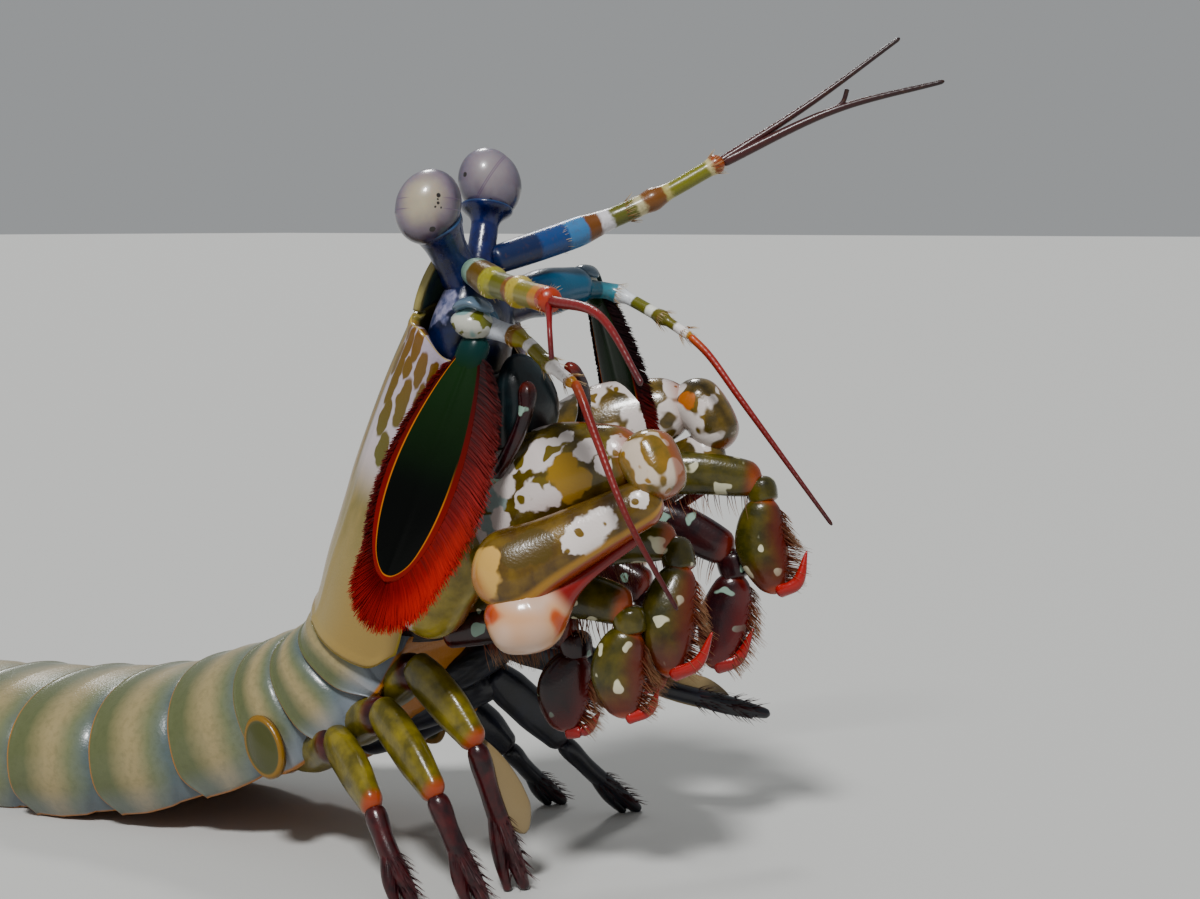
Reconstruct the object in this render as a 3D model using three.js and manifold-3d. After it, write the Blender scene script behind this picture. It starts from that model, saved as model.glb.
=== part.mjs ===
// A life-size still model of a peacock mantis shrimp, reared up with its tail on the ground.
// Millimetres, +X the way it heads, +Y its left, +Z up.
// The floor is z = 0 and the origin is the middle of the outline there.
import * as THREE from "three";
import { mergeVertices } from "three/addons/utils/BufferGeometryUtils.js";
import Module from "manifold-3d";

// Driving dimensions, in millimetres
const jointGap = 0.3; // cleared round a piece where its neighbours meet it
const plateGap = 0.5; // between one ring of the body and the next, along the body line
const thinnest = 0.6; // thinnest feeler or fan
const somiteLength = 11; // one belly ring along the body
const sixthLength = 9;
const bellyFront = 84.2; // stations are measured along the body line from the tail's tip
const bellyHalfWidth = 14;
const bellyHeight = 9.2; // from the body line to the back
const pleuraDrop = 6; // from the body line to the hem of the side plates
const carapaceRear = 103.4;
const carapaceLength = 34.4;
const carapaceWall = 1;
const eyeRadii = [3, 3.1, 3.6];
const floorBlock = 400;

const wasm = await Module();
wasm.setup();

const at = (x, y, z) => new THREE.Vector3(x, y, z);

// The body line runs from the tail's tip to the brow, and the back's direction turns with it.
const bodyLine = new THREE.CatmullRomCurve3([
  at(-94, -13.4, 3.4), at(-76, -11.8, 4.3), at(-60, -9.6, 4.9), at(-44, -7, 5.4), at(-28, -4.3, 7.2),
  at(-14.5, -2.2, 11.4), at(-4.4, -1, 17.3), at(1.4, -1.1, 24.8), at(5.6, -2.7, 33), at(9.9, -4.8, 42.5),
  at(15.1, -8, 55.5), at(18.3, -9.9, 63),
], false, "centripetal");
bodyLine.arcLengthDivisions = 800;
const bodyLength = bodyLine.getLength();
const backTurns = [
  { s: 0, back: at(0, 0, 1) },
  { s: 62, back: at(-0.1, 0.02, 1) },
  { s: 84, back: at(-0.35, 0.04, 0.93) },
  { s: 97, back: at(-0.68, 0, 0.73) },
  { s: 108, back: at(-0.88, -0.04, 0.48) },
  { s: 122, back: at(-0.91, -0.07, 0.4) },
  { s: bodyLength, back: at(-0.91, -0.07, 0.4) },
];

const smooth = (t) => t * t * (3 - 2 * t);

// Reads a table of stops, such as {t, w, h}, at t, easing from stop to stop.
function readStops(stops, t, key = "t") {
  const next = Math.max(1, stops.findIndex((stop) => stop[key] >= t));
  const a = stops[next - 1];
  const b = stops[next];
  const share = smooth(THREE.MathUtils.clamp((t - a[key]) / (b[key] - a[key]), 0, 1));
  const mixed = {};
  for (const name of Object.keys(a)) {
    const from = a[name];
    mixed[name] = from.isVector3 ? from.clone().lerp(b[name], share) : from + (b[name] - from) * share;
  }
  return mixed;
}

// A short way to write stops: each row is t, half width, half height.
const sizes = (...rows) => rows.map(([t, w, h]) => ({ t, w, h }));

// The body's own axes at s millimetres from the tail's tip.
function bodyFrame(s) {
  const t = THREE.MathUtils.clamp(s / bodyLength, 0, 1);
  const ahead = bodyLine.getTangentAt(t);
  const hint = readStops(backTurns, s, "s").back;
  const side = ahead.clone().cross(hint).normalize();
  const back = side.clone().cross(ahead);
  return { centre: bodyLine.getPointAt(t), ahead, side, back };
}

// A point beside the body line: s along it, right to the animal's right, up towards its back.
function onBody(s, right, up) {
  const f = bodyFrame(s);
  return f.centre.addScaledVector(f.side, right).addScaledVector(f.back, up);
}

// Moves a closed cylinder's vertices: place() gets the share along it and the point of the unit disc.
function formed(sides, steps, place) {
  const grid = new THREE.CylinderGeometry(1, 1, 1, sides, steps);
  const points = grid.attributes.position;
  for (let i = 0; i < points.count; i += 1) {
    const p = place(points.getY(i) + 0.5, points.getX(i), points.getZ(i));
    points.setXYZ(i, p.x, p.y, p.z);
  }
  return grid;
}

// A limb's length: an oval tube along a smooth path, with stops of half width w and half height h.
function limb(path, stops, { sides = 7, steps = 4, up = at(0, 0, 1), grow = 0 } = {}) {
  const curve = new THREE.CatmullRomCurve3(path, false, "centripetal");
  const last = path.length - 1;
  return formed(sides, steps, (share, x, z) => {
    const t = path.length > 2 && steps > 4 ? share : 0.5 - 0.5 * Math.cos(Math.PI * share);
    const size = readStops(stops, t);
    const ahead = curve.getTangentAt(t);
    const side = ahead.clone().cross(up).normalize();
    const top = side.clone().cross(ahead);
    const p = curve.getPointAt(t);
    if (share === 0) p.copy(path[0]).addScaledVector(ahead, -grow);
    if (share === 1) p.copy(path[last]).addScaledVector(ahead, grow);
    return p.addScaledVector(side, x * (size.w + grow)).addScaledVector(top, z * (size.h + grow));
  });
}

// A length of body between two stations: an arched back, side hems and a belly hollowed between them.
function bodyRing(from, to, stops, { sides = 18, steps = 1, grow = 0 } = {}) {
  return formed(sides, steps, (share, x, z) => {
    const s = from - grow + (to - from + 2 * grow) * share;
    const size = readStops(stops, share);
    const radial = Math.hypot(x, z);
    const across = radial ? x / radial : 0;
    const rise = radial ? z / radial : 0;
    const right = Math.sign(across) * Math.abs(across) ** 0.85 * (size.w + grow) * radial;
    if (rise >= 0) return onBody(s, right, rise ** 0.9 * (size.h + grow) * radial);
    const low = Math.min(1, -rise * 1.6);
    const hollow = size.hollow * smooth(THREE.MathUtils.clamp((-rise - 0.6) / 0.4, 0, 1));
    return onBody(s, right, (-(size.drop + grow) * low + hollow) * radial);
  });
}

// A flat blade: an outline in its own plane, given a thickness and turned into place.
function blade(outline, thick, origin, ahead, normal) {
  const options = { depth: thick, bevelEnabled: false, curveSegments: 6 };
  const plate = new THREE.ExtrudeGeometry(new THREE.Shape(outline), options);
  plate.translate(0, 0, -thick / 2);
  const y = ahead.clone().normalize();
  const z = normal.clone().addScaledVector(y, -normal.dot(y)).normalize();
  const x = y.clone().cross(z);
  return plate.applyMatrix4(new THREE.Matrix4().makeBasis(x, y, z).setPosition(origin));
}

function ovalOutline(length, halfWidth, widest = 0.55, points = 18) {
  const outline = [];
  for (let i = 0; i < points; i += 1) {
    const turn = (2 * Math.PI * i) / points;
    const y = 0.5 - 0.5 * Math.cos(turn);
    const lean = y ** (Math.log(0.5) / Math.log(widest));
    const x = Math.sign(Math.sin(turn)) * halfWidth * Math.sin(Math.PI * lean) ** 0.6;
    outline.push(new THREE.Vector2(x, length * y));
  }
  return outline;
}

function solidOf(geometry) {
  const bare = geometry.clone();
  bare.deleteAttribute("normal");
  bare.deleteAttribute("uv");
  const merged = mergeVertices(bare, 1e-4);
  return new wasm.Manifold(new wasm.Mesh({
    numProp: 3,
    vertProperties: new Float32Array(merged.attributes.position.array),
    triVerts: new Uint32Array(merged.index.array),
  }));
}

function geometryOf(solid) {
  const mesh = solid.getMesh();
  const geometry = new THREE.BufferGeometry();
  geometry.setAttribute("position", new THREE.BufferAttribute(mesh.vertProperties, 3));
  geometry.setIndex(new THREE.BufferAttribute(mesh.triVerts, 1));
  return geometry;
}

const joined = (...geometries) => geometryOf(geometries.map(solidOf).reduce((a, b) => a.add(b)));

// Materials
const finish = (color, roughness = 0.35) => new THREE.MeshStandardMaterial({ color, roughness, metalness: 0 });
const finishes = {
  shell: finish(0x7d8257),
  cream: finish(0xd9cfc0),
  olive: finish(0x6f6a1c),
  blue: finish(0x14307c),
  cornea: finish(0xb5a9a6, 0.2),
  red: finish(0x9c1c14),
  maroon: finish(0x2c0d10),
  scale: finish(0x14200f),
};

// Every piece is made by a function of its growth: a slightly larger copy cuts its neighbours back.
const pieces = [];
const piece = (name, material, make) => pieces.push({ name, material, make });
const sideNames = [["right", 1], ["left", -1]];

function addTrunkAndShell() {
  const trunk = [
    { t: 0, w: 8.6, h: 5.4, drop: 6, hollow: 0 },
    { t: 0.6, w: 8.4, h: 5.6, drop: 6, hollow: 0 },
    { t: 1, w: 5, h: 3, drop: 4.4, hollow: 0 },
  ];
  const shellOuter = [
    { t: 0, w: 13, h: 6.8, drop: 7, hollow: 0 },
    { t: 0.5, w: 11, h: 7.2, drop: 5, hollow: 0 },
    { t: 1, w: 6.2, h: 4.2, drop: 2.5, hollow: 0 },
  ];
  const openBelow = 12;
  const shellInner = shellOuter.map(({ t, w, h, hollow }) => (
    { t, w: w - carapaceWall, h: h - carapaceWall, drop: openBelow, hollow }));
  const browAt = carapaceRear + carapaceLength;
  piece("trunk", finishes.cream, (grow) => bodyRing(carapaceRear + 1, browAt - 5.2, trunk,
    { sides: 14, steps: 3, grow }));
  piece("carapace", finishes.shell, (grow) => {
    const outer = solidOf(bodyRing(carapaceRear, browAt, shellOuter, { steps: 5, grow }));
    const inner = solidOf(bodyRing(carapaceRear - 1, browAt + 1, shellInner, { steps: 5, grow: -grow }));
    return geometryOf(outer.subtract(inner));
  });
  const rostrum = new THREE.Shape()
    .moveTo(-4.2, 0)
    .lineTo(4.2, 0)
    .quadraticCurveTo(3.4, 3.4, 0.5, 6.2)
    .lineTo(-0.5, 6.2)
    .quadraticCurveTo(-3.4, 3.4, -4.2, 0);
  const brow = bodyFrame(browAt);
  piece("rostral_plate", finishes.shell, (grow) => blade(rostrum.getPoints(4), 0.9 + 2 * grow,
    onBody(browAt + jointGap, 0, 3.9), brow.ahead, brow.back));
}

function addThoraxRings() {
  const ring = (w, h) => [
    { t: 0, w: w + 0.3, h: h + 0.2, drop: 7, hollow: 2 },
    { t: 1, w: w - 0.5, h: h - 0.4, drop: 6.4, hollow: 2 },
  ];
  const rings = [
    { name: "thorax_6", rear: 97.5, front: 102.9, w: 12.4, h: 7 },
    { name: "thorax_7", rear: 91.1, front: 97, w: 13, h: 7.6 },
    { name: "thorax_8", rear: 84.7, front: 90.6, w: 13.4, h: 8.4 },
  ];
  for (const { name, rear, front, w, h } of rings) {
    piece(name, finishes.shell, (grow) => bodyRing(rear, front, ring(w, h), { grow }));
  }
}

function addBelly() {
  for (let n = 1; n <= 5; n += 1) {
    const front = bellyFront - (n - 1) * somiteLength;
    const rear = front - somiteLength + plateGap;
    const wide = bellyHalfWidth * (1 - 0.05 * Math.abs(n - 3));
    const high = bellyHeight - 0.3 * n;
    piece(`abdomen_${n}`, finishes.shell, (grow) => bodyRing(rear, front, [
      { t: 0, w: wide + 0.3, h: high + 0.3, drop: pleuraDrop, hollow: 4.5 },
      { t: 1, w: wide - 0.4, h: high - 0.3, drop: pleuraDrop, hollow: 4.5 },
    ], { grow }));
  }
  const sixthFront = bellyFront - 5 * somiteLength;
  piece("abdomen_6", finishes.shell, (grow) => bodyRing(sixthFront - sixthLength + plateGap, sixthFront, [
    { t: 0, w: 11.6, h: 6.4, drop: 3.6, hollow: 0 },
    { t: 1, w: 12.8, h: 8, drop: 5.4, hollow: 1.5 },
  ], { grow }));
  piece("telson", finishes.olive, (grow) => bodyRing(0.3, sixthFront - sixthLength, [
    { t: 0, w: 6, h: 0.8, drop: 0.8, hollow: 0 },
    { t: 0.35, w: 9.4, h: 2.6, drop: 1.8, hollow: 0 },
    { t: 1, w: 9.8, h: 5.2, drop: 3, hollow: 0 },
  ], { steps: 4, grow }));
}

function addTailFans() {
  for (const [side, hand] of sideNames) {
    const root = onBody(24, hand * 11.2, -1);
    const frame = bodyFrame(14);
    const out = frame.side.clone().multiplyScalar(hand);
    const rear = frame.ahead.clone().negate();
    const splay = rear.clone().multiplyScalar(0.92).addScaledVector(out, 0.4).normalize();
    const outer = ovalOutline(19, 4, 0.6);
    const inner = ovalOutline(15, 2.6, 0.6);
    const outerRoot = root.clone().addScaledVector(splay, 3.5).addScaledVector(out, 1.2);
    const innerRoot = root.clone().addScaledVector(splay, 4).addScaledVector(out, -0.4);
    piece(`uropod_${side}`, finishes.blue, (grow) => {
      const stem = limb([root.clone().addScaledVector(rear, -1.5), root.clone().addScaledVector(splay, 7)],
        sizes([0, 1.6, 1.3], [1, 1.5, 1.1]), { grow });
      const thick = 1.2 + 2 * grow;
      const far = blade(outer, thick, outerRoot, splay, frame.back);
      const near = blade(inner, thick, innerRoot, splay.clone().addScaledVector(out, -0.34), frame.back);
      return joined(stem, far, near);
    });
  }
}

function addSwimmerets() {
  for (const [side, hand] of sideNames) {
    for (let n = 1; n <= 5; n += 1) {
      const s = bellyFront - (n - 0.35) * somiteLength;
      const root = onBody(s, hand * 4.2, -3.2);
      const tip = onBody(s - (n < 5 ? 8.8 : 5), hand * 4.8, -4.7);
      const frame = bodyFrame(s);
      piece(`pleopod_${side}_${n}`, finishes.maroon, (grow) => limb([root, tip],
        sizes([0, 1.6, 0.7], [0.5, 2.8, 0.7], [1, 1.4, 0.4]), { up: frame.back, grow }));
    }
  }
}

function addHead() {
  piece("head", finishes.blue, (grow) => bodyRing(133, 142.4, [
    { t: 0, w: 4.8, h: 2.8, drop: 4, hollow: 0 },
    { t: 0.45, w: 5.2, h: 2.7, drop: 4.2, hollow: 0 },
    { t: 1, w: 2.2, h: 1.8, drop: 1.8, hollow: 0 },
  ], { sides: 12, steps: 4, grow }));
  const looks = {
    right: { root: at(15.9, -10.4, 60.9), eye: at(16, -14.7, 66.5), long: at(0.25, 0.3, 0.9) },
    left: { root: at(14.6, -5.6, 61.4), eye: at(14, -3.3, 68.8), long: at(-0.1, -0.45, 0.9) },
  };
  for (const [side] of sideNames) {
    const { root, eye, long } = looks[side];
    const toEye = eye.clone().sub(root).normalize();
    const neck = eye.clone().addScaledVector(toEye, -2.6);
    piece(`eye_${side}`, finishes.cornea, (grow) => {
      const ball = new THREE.SphereGeometry(1, 12, 9);
      ball.scale(...eyeRadii.map((r) => r + grow));
      const turn = new THREE.Quaternion().setFromUnitVectors(at(0, 0, 1), long.clone().normalize());
      return ball.applyQuaternion(turn).translate(eye.x, eye.y, eye.z);
    });
    piece(`eye_stalk_${side}`, finishes.blue, (grow) => limb([root, neck.clone().addScaledVector(toEye, 1.4)],
      sizes([0, 1.7, 1.7], [0.5, 2, 2], [1, 2.9, 3]), { sides: 8, steps: 2, grow }));
  }
  const mouth = [onBody(136, 0, -6), onBody(131, 0, -8.6), onBody(125, 0, -8.2)];
  piece("mouthparts", finishes.cream, (grow) => limb(mouth,
    sizes([0, 2, 1.6], [0.5, 3.8, 2.4], [1, 3, 1.6]), { up: bodyFrame(130).back, steps: 4, grow }));
}

// Feelers: a jointed stalk and one or more whips that grow out of its end.
function addFeelers() {
  const antennules = {
    right: {
      stalk: [at(18.6, -11.4, 60.6), at(23.1, -14, 59.6), at(28, -16.7, 59), at(36.6, -22.2, 58.4)],
      whips: [
        [at(36.6, -22.2, 58.4), at(43.9, -25.2, 57.4), at(49.6, -27.2, 52.2)],
        [at(36.4, -22.4, 58.1), at(38.6, -24.9, 53.6)],
        [at(36.6, -22.2, 58.4), at(45, -26.6, 59.4), at(52, -31, 57)],
      ],
    },
    left: {
      stalk: [at(15.4, -4.6, 61.4), at(19.1, 5, 64.3), at(23.9, 10.2, 67.3), at(28.8, 15.7, 71.3)],
      whips: [
        [at(28.6, 15.5, 71.1), at(34.9, 22.2, 77), at(41.2, 29.2, 83.7)],
        [at(28.6, 15.5, 71.1), at(37.4, 22.8, 76.3), at(46.1, 29.7, 79.2)],
        [at(37, 22.5, 76.1), at(38.4, 23.6, 78.4)],
      ],
    },
  };
  const antennae = {
    right: {
      root: [at(19.2, -10.6, 55.4), at(20.8, -11.25, 54.9)],
      stalk: [at(20.6, -11.2, 54.9), at(25, -12, 54.3), at(28.8, -13.1, 52.4), at(32.9, -14.1, 50.5)],
      whip: [at(32.7, -14, 50.7), at(35.9, -15, 45.9), at(39.7, -15.5, 39.1), at(43.7, -13.6, 31.2)],
    },
    left: {
      root: [at(16, -4.4, 56.4), at(16.6, 2, 57.9), at(16.9, 8, 58.6)],
      stalk: [at(16.6, 6, 58.6), at(18.8, 10.3, 58), at(23.6, 11.1, 55.9), at(27.9, 11.5, 53.6)],
      whip: [at(27.7, 11.5, 53.8), at(33.2, 12.2, 47.7), at(37.7, 13.5, 41.7), at(42.4, 14.9, 35.4)],
    },
  };
  const tip = thinnest / 2;
  const whip = (path, thick, grow) => limb(path, sizes([0, thick, thick], [1, tip, tip]),
    { sides: 5, steps: 5, grow });
  const stalk = (path, middle, end, grow) => limb(path,
    sizes([0, 1.5, 1.5], [0.4, middle, middle], [1, end, end]), { sides: 6, steps: 4, grow });
  for (const [side] of sideNames) {
    piece(`antennule_${side}`, finishes.olive, (grow) => joined(
      stalk(antennules[side].stalk, 1.25, 1, grow),
      ...antennules[side].whips.map((path, i) => whip(path, i === 1 ? 0.5 : 0.55, grow)),
    ));
    const rootWidth = side === "left" ? 2.1 : 1.5;
    piece(`antenna_${side}`, finishes.cream, (grow) => joined(
      limb(antennae[side].root, sizes([0, rootWidth, rootWidth], [1, 1.7, 1.7]), { sides: 8, steps: 2, grow }),
      stalk(antennae[side].stalk, 1.2, 0.8, grow),
      whip(antennae[side].whip, 0.65, grow),
    ));
  }
  const scales = {
    right: { root: at(18.6, -13, 54.6), tip: at(14, -21.2, 28.2), facing: at(0.45, -0.85, 0.3) },
    left: { root: at(15.9, 10.4, 60.2), tip: at(20.6, 14.2, 33.2), facing: at(0.3, 0.9, 0.2) },
  };
  for (const [side] of sideNames) {
    const { root, tip, facing } = scales[side];
    const reach = tip.clone().sub(root);
    const base = root.clone().addScaledVector(reach.clone().normalize(), -1.5);
    piece(`antennal_scale_${side}`, finishes.scale, (grow) => joined(
      limb([base, root.clone().addScaledVector(reach, 0.12)],
        sizes([0, 2, 1.7], [1, 1.6, 0.9]), { up: facing, grow }),
      blade(ovalOutline(reach.length(), 4.9, 0.58, 18), 0.9 + 2 * grow, root, reach, facing),
    ));
  }
}

// The big striking claws: a deep arm, a knuckle, a forearm folded back under it and a clubbed finger.
function addStrikingClaws() {
  const claws = {
    right: {
      shoulder: at(14.6, -9, 31.6), knee: at(34.2, -5.4, 43.9), wrist: at(36.4, -5.8, 40.2),
      knuckle: at(22.2, -15.6, 31), clubEnd: at(26, -14, 27.8), tip: at(34.6, -6.6, 36.2),
    },
    left: {
      shoulder: at(8.8, 5.8, 33), knee: at(24.4, 16.8, 47), wrist: at(27.8, 17.2, 42.4),
      knuckle: at(13, 12.6, 33.4), clubEnd: at(16.6, 12.4, 30.6), tip: at(26.4, 17, 38),
    },
  };
  for (const [side] of sideNames) {
    const c = claws[side];
    const along = c.knee.clone().sub(c.shoulder);
    const across = c.wrist.clone().sub(c.knee).normalize();
    const up = across.clone().negate().addScaledVector(along.clone().normalize(), 0.2);
    const bend = c.shoulder.clone().addScaledVector(along, 0.5).addScaledVector(up, 2.6);
    piece(`claw_arm_${side}`, finishes.olive, (grow) => limb([c.shoulder, bend, c.knee],
      sizes([0, 2.4, 2.4], [0.35, 4, 5.4], [0.65, 3.8, 4.8], [1, 2.4, 2.4]), { up, sides: 9, steps: 5, grow }));
    const wrist = [c.knee.clone().addScaledVector(up, 1.6), c.wrist.clone().addScaledVector(up, 0.4)];
    piece(`claw_wrist_${side}`, finishes.cream, (grow) => limb(wrist,
      sizes([0, 1.8, 1.8], [0.5, 3, 3], [1, 2.4, 2.4]), { up: along, steps: 4, grow }));
    const hand = [c.wrist, c.wrist.clone().lerp(c.knuckle, 0.5), c.knuckle];
    piece(`claw_hand_${side}`, finishes.olive, (grow) => limb(hand,
      sizes([0, 2, 2], [0.3, 2.4, 2.5], [0.8, 3.3, 4], [1, 2.4, 3]), { up, sides: 9, steps: 5, grow }));
    const heel = c.knuckle.clone().addScaledVector(across, 2.4);
    const finger = [heel, c.clubEnd.clone().lerp(c.tip, 0.1), c.clubEnd.clone().lerp(c.tip, 0.45), c.tip];
    piece(`claw_club_${side}`, finishes.red, (grow) => limb(finger,
      sizes([0, 1.9, 1.9], [0.16, 3.1, 3.3], [0.32, 3, 3], [0.5, 1, 1.1], [1, 0.4, 0.5]),
      { up, sides: 8, steps: 9, grow }));
  }
}

// Feeding legs: an arm, a short wrist, an oval hand and its hooked finger, joined as one leg.
function addFeedingLegs() {
  const legs = {
    maxilliped_3_right: {
      arm: [at(15, -5.5, 31), at(26.8, -0.8, 34.2), at(32.8, 2, 34.6)],
      hand: [at(33.7, 1.7, 32.4), at(33.6, -0.4, 28.4), at(34.5, -1.6, 22)],
      finger: [at(34.5, -1.6, 22.2), at(37, -0.7, 23.5), at(38, 0.4, 26.5)],
    },
    maxilliped_4_right: {
      arm: [at(13.6, -6.5, 27.6), at(26.3, -4.6, 29.4), at(31.4, -3.6, 28.6)],
      hand: [at(31.6, -3.6, 26.8), at(30.7, -4.5, 23.6), at(31.5, -4.8, 18.2)],
      finger: [at(31.5, -4.8, 18.4), at(33.3, -3.2, 19.1), at(33.9, -2.6, 21)],
    },
    maxilliped_5_right: {
      arm: [at(11.4, -7.5, 24.4), at(20, -5.6, 26.4), at(25.4, -4.2, 25.6)],
      hand: [at(25.6, -4.2, 23.8), at(24.6, -5, 20.6), at(24.6, -5.2, 16)],
      finger: [at(24.6, -5.2, 16.2), at(26.4, -4, 16.3), at(27.4, -3.2, 18)],
    },
    maxilliped_3_left: {
      arm: [at(12, 7, 35), at(24.2, 13.6, 39.4), at(31.8, 18.7, 38.8)],
      hand: [at(32.3, 18.5, 37.2), at(32.2, 17.8, 33), at(34.4, 17.4, 27.4)],
      finger: [at(34.4, 17.4, 27.6), at(36.4, 18, 28.6), at(37, 19, 31.9)],
    },
    maxilliped_4_left: {
      arm: [at(11, 6.5, 31.4), at(22, 13, 34.6), at(29.2, 17.4, 31.2)],
      hand: [at(29.6, 17.4, 29.2), at(28.8, 16.8, 25.4), at(28.6, 14.6, 19.4)],
      finger: [at(28.6, 14.6, 19.6), at(30.6, 16, 20.4), at(31.8, 17.2, 23.6)],
    },
    maxilliped_5_left: {
      arm: [at(9.6, 5.4, 27.6), at(17.4, 10, 29), at(22.6, 12, 27.4)],
      hand: [at(22.8, 12, 25.6), at(21.8, 11.6, 22.2), at(22, 10.6, 17.2)],
      finger: [at(22, 10.6, 17.4), at(23.8, 11.6, 17.6), at(24.6, 12.4, 19.6)],
    },
  };
  for (const [name, { arm, hand, finger }] of Object.entries(legs)) {
    const wrist = [arm[2].clone().add(at(-0.6, 0, 0.3)), hand[0].clone().add(at(0, 0, -0.6))];
    piece(name, finishes.maroon, (grow) => joined(
      limb(arm, sizes([0, 1.3, 1.4], [0.6, 1.5, 2], [1, 1.3, 1.5]), { steps: 4, grow }),
      limb(wrist, sizes([0, 1.4, 1.4], [1, 1.6, 1.5]), { up: at(1, 0.3, 0), steps: 1, grow }),
      limb(hand, sizes([0, 1.2, 1.4], [0.45, 1.5, 2.6], [1, 0.9, 1.2]), { up: at(0.8, 0.6, 0), steps: 4, grow }),
      limb(finger, sizes([0, 0.6, 0.9], [1, 0.3, 0.3]), { sides: 5, steps: 3, grow }),
    ));
  }
  for (const [side, hand] of sideNames) {
    const path = [onBody(123, hand * 5, -7.4), onBody(128, hand * 6, -10.8),
      onBody(133, hand * 4.4, -11.4), onBody(136, hand * 3, -10.2)];
    piece(`maxilliped_1_${side}`, finishes.maroon, (grow) => limb(path,
      sizes([0, 0.9, 0.9], [0.7, 0.7, 0.7], [1, 1, 0.8]), { sides: 5, steps: 4, grow }));
  }
}

function addWalkingLegs() {
  const legs = {
    walking_leg_1_right: { hip: at(8.8, -9.6, 21.7), knee: at(18, -10.2, 14.6), foot: at(20.4, -7.4, -0.6) },
    walking_leg_2_right: { hip: at(6.4, -12, 17.4), knee: at(16.6, -14.6, 10.2), foot: at(20.6, -13.6, -0.6) },
    walking_leg_3_right: { hip: at(0.6, -12.4, 13.6), knee: at(10.6, -17, 8.6), foot: at(15, -17.6, -0.6) },
    walking_leg_1_left: { hip: at(6.6, 6, 21.5), knee: at(17, 15, 17), foot: at(27.6, 25.6, 12.4) },
    walking_leg_2_left: { hip: at(4.2, 8, 17.2), knee: at(8.6, 15.5, 8.4), foot: at(12.6, 22.5, -0.6) },
    walking_leg_3_left: { hip: at(-1.4, 8, 13.4), knee: at(1.6, 14.6, 7), foot: at(4, 20, -0.6) },
  };
  for (const [name, { hip, knee, foot }] of Object.entries(legs)) {
    const shin = knee.clone().lerp(foot, 0.45);
    const spread = at(0.6, 0.8, 0).multiplyScalar(0.9);
    const lower = [knee.clone().lerp(hip, 0.06), shin, foot.clone().add(spread)];
    const branch = [shin.clone().lerp(knee, 0.1), foot.clone().sub(spread)];
    const up = at(1, 0, 0.2);
    piece(name, finishes.maroon, (grow) => joined(
      limb([hip, knee], sizes([0, 1.3, 1.7], [0.7, 1.5, 2.1], [1, 1.1, 1.2]), { steps: 3, grow }),
      limb(lower, sizes([0, 1.1, 1.1], [0.5, 1, 1], [1, 0.6, 0.6]), { up, steps: 4, grow }),
      limb(branch, sizes([0, 0.8, 0.8], [1, 0.5, 0.5]), { up, sides: 5, steps: 1, grow }),
    ));
  }
}

addTrunkAndShell();
addHead();
addThoraxRings();
addBelly();
addTailFans();
addSwimmerets();
addStrikingClaws();
addFeelers();
addFeedingLegs();
addWalkingLegs();

// Cuts each piece back from those before it and from the floor, and keeps its main body.
const model = new THREE.Group();
const block = new THREE.BoxGeometry(floorBlock, floorBlock, floorBlock).translate(0, 0, -floorBlock / 2);
const ground = solidOf(block);
const done = [];
for (const { name, material, make } of pieces) {
  let solid = solidOf(make(0)).subtract(ground);
  for (const earlier of done) {
    if (!solid.intersect(earlier.grown).isEmpty()) solid = solid.subtract(earlier.grown);
  }
  solid = solid.decompose().reduce((a, b) => (b.volume() > a.volume() ? b : a)).simplify(0.03);
  done.push({ grown: solidOf(make(jointGap)) });
  const mesh = new THREE.Mesh(geometryOf(solid), material);
  mesh.name = name;
  model.add(mesh);
}

// The origin is the middle of the outline, on the floor.
const outline = new THREE.Box3().setFromObject(model);
const middle = outline.getCenter(at(0, 0, 0));
model.position.set(-middle.x, -middle.y, 0);

export default model;
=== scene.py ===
# Peacock mantis shrimp, reared up at rest, as a life-size museum model.
# Places are in millimetres in the modeller's frame; toWorld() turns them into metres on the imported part.
import math

import bmesh
import bpy
import numpy as np
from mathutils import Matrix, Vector


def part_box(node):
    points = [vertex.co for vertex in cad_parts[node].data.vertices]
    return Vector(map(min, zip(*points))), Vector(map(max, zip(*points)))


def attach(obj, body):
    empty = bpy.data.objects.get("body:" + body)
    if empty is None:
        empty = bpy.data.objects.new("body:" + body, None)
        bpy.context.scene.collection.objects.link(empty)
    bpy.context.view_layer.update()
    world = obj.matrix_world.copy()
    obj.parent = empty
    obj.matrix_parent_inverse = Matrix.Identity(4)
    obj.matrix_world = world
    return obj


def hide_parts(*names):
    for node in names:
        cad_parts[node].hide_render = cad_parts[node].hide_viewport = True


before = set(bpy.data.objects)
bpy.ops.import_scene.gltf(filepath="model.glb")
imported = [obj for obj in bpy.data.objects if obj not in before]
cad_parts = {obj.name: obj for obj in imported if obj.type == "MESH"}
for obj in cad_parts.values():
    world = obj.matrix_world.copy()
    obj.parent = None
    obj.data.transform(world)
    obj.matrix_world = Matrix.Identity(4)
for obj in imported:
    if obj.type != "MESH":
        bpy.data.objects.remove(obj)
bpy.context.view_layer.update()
mm = 0.001
eyeCentres = {"right": (16, -14.7, 66.5), "left": (14, -3.3, 68.8)}
eyeLow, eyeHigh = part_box("eye_right")
shift = (np.array(eyeLow) + np.array(eyeHigh)) / 2 / mm - np.array(eyeCentres["right"])
shift[2] = 0
print("frame loaded, shift in mm:", shift.round(3))


def toWorld(points):
    return (np.asarray(points, float) + shift) * mm


def unit(v):
    v = np.asarray(v, float)
    return v / np.maximum(np.linalg.norm(v, axis=-1, keepdims=True), 1e-9)


def each(way, amounts):  # one direction times every amount
    return way * np.asarray(amounts)[..., None]


def ease(t):
    t = np.clip(t, 0, 1)
    return t * t * (3 - 2 * t)


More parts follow.
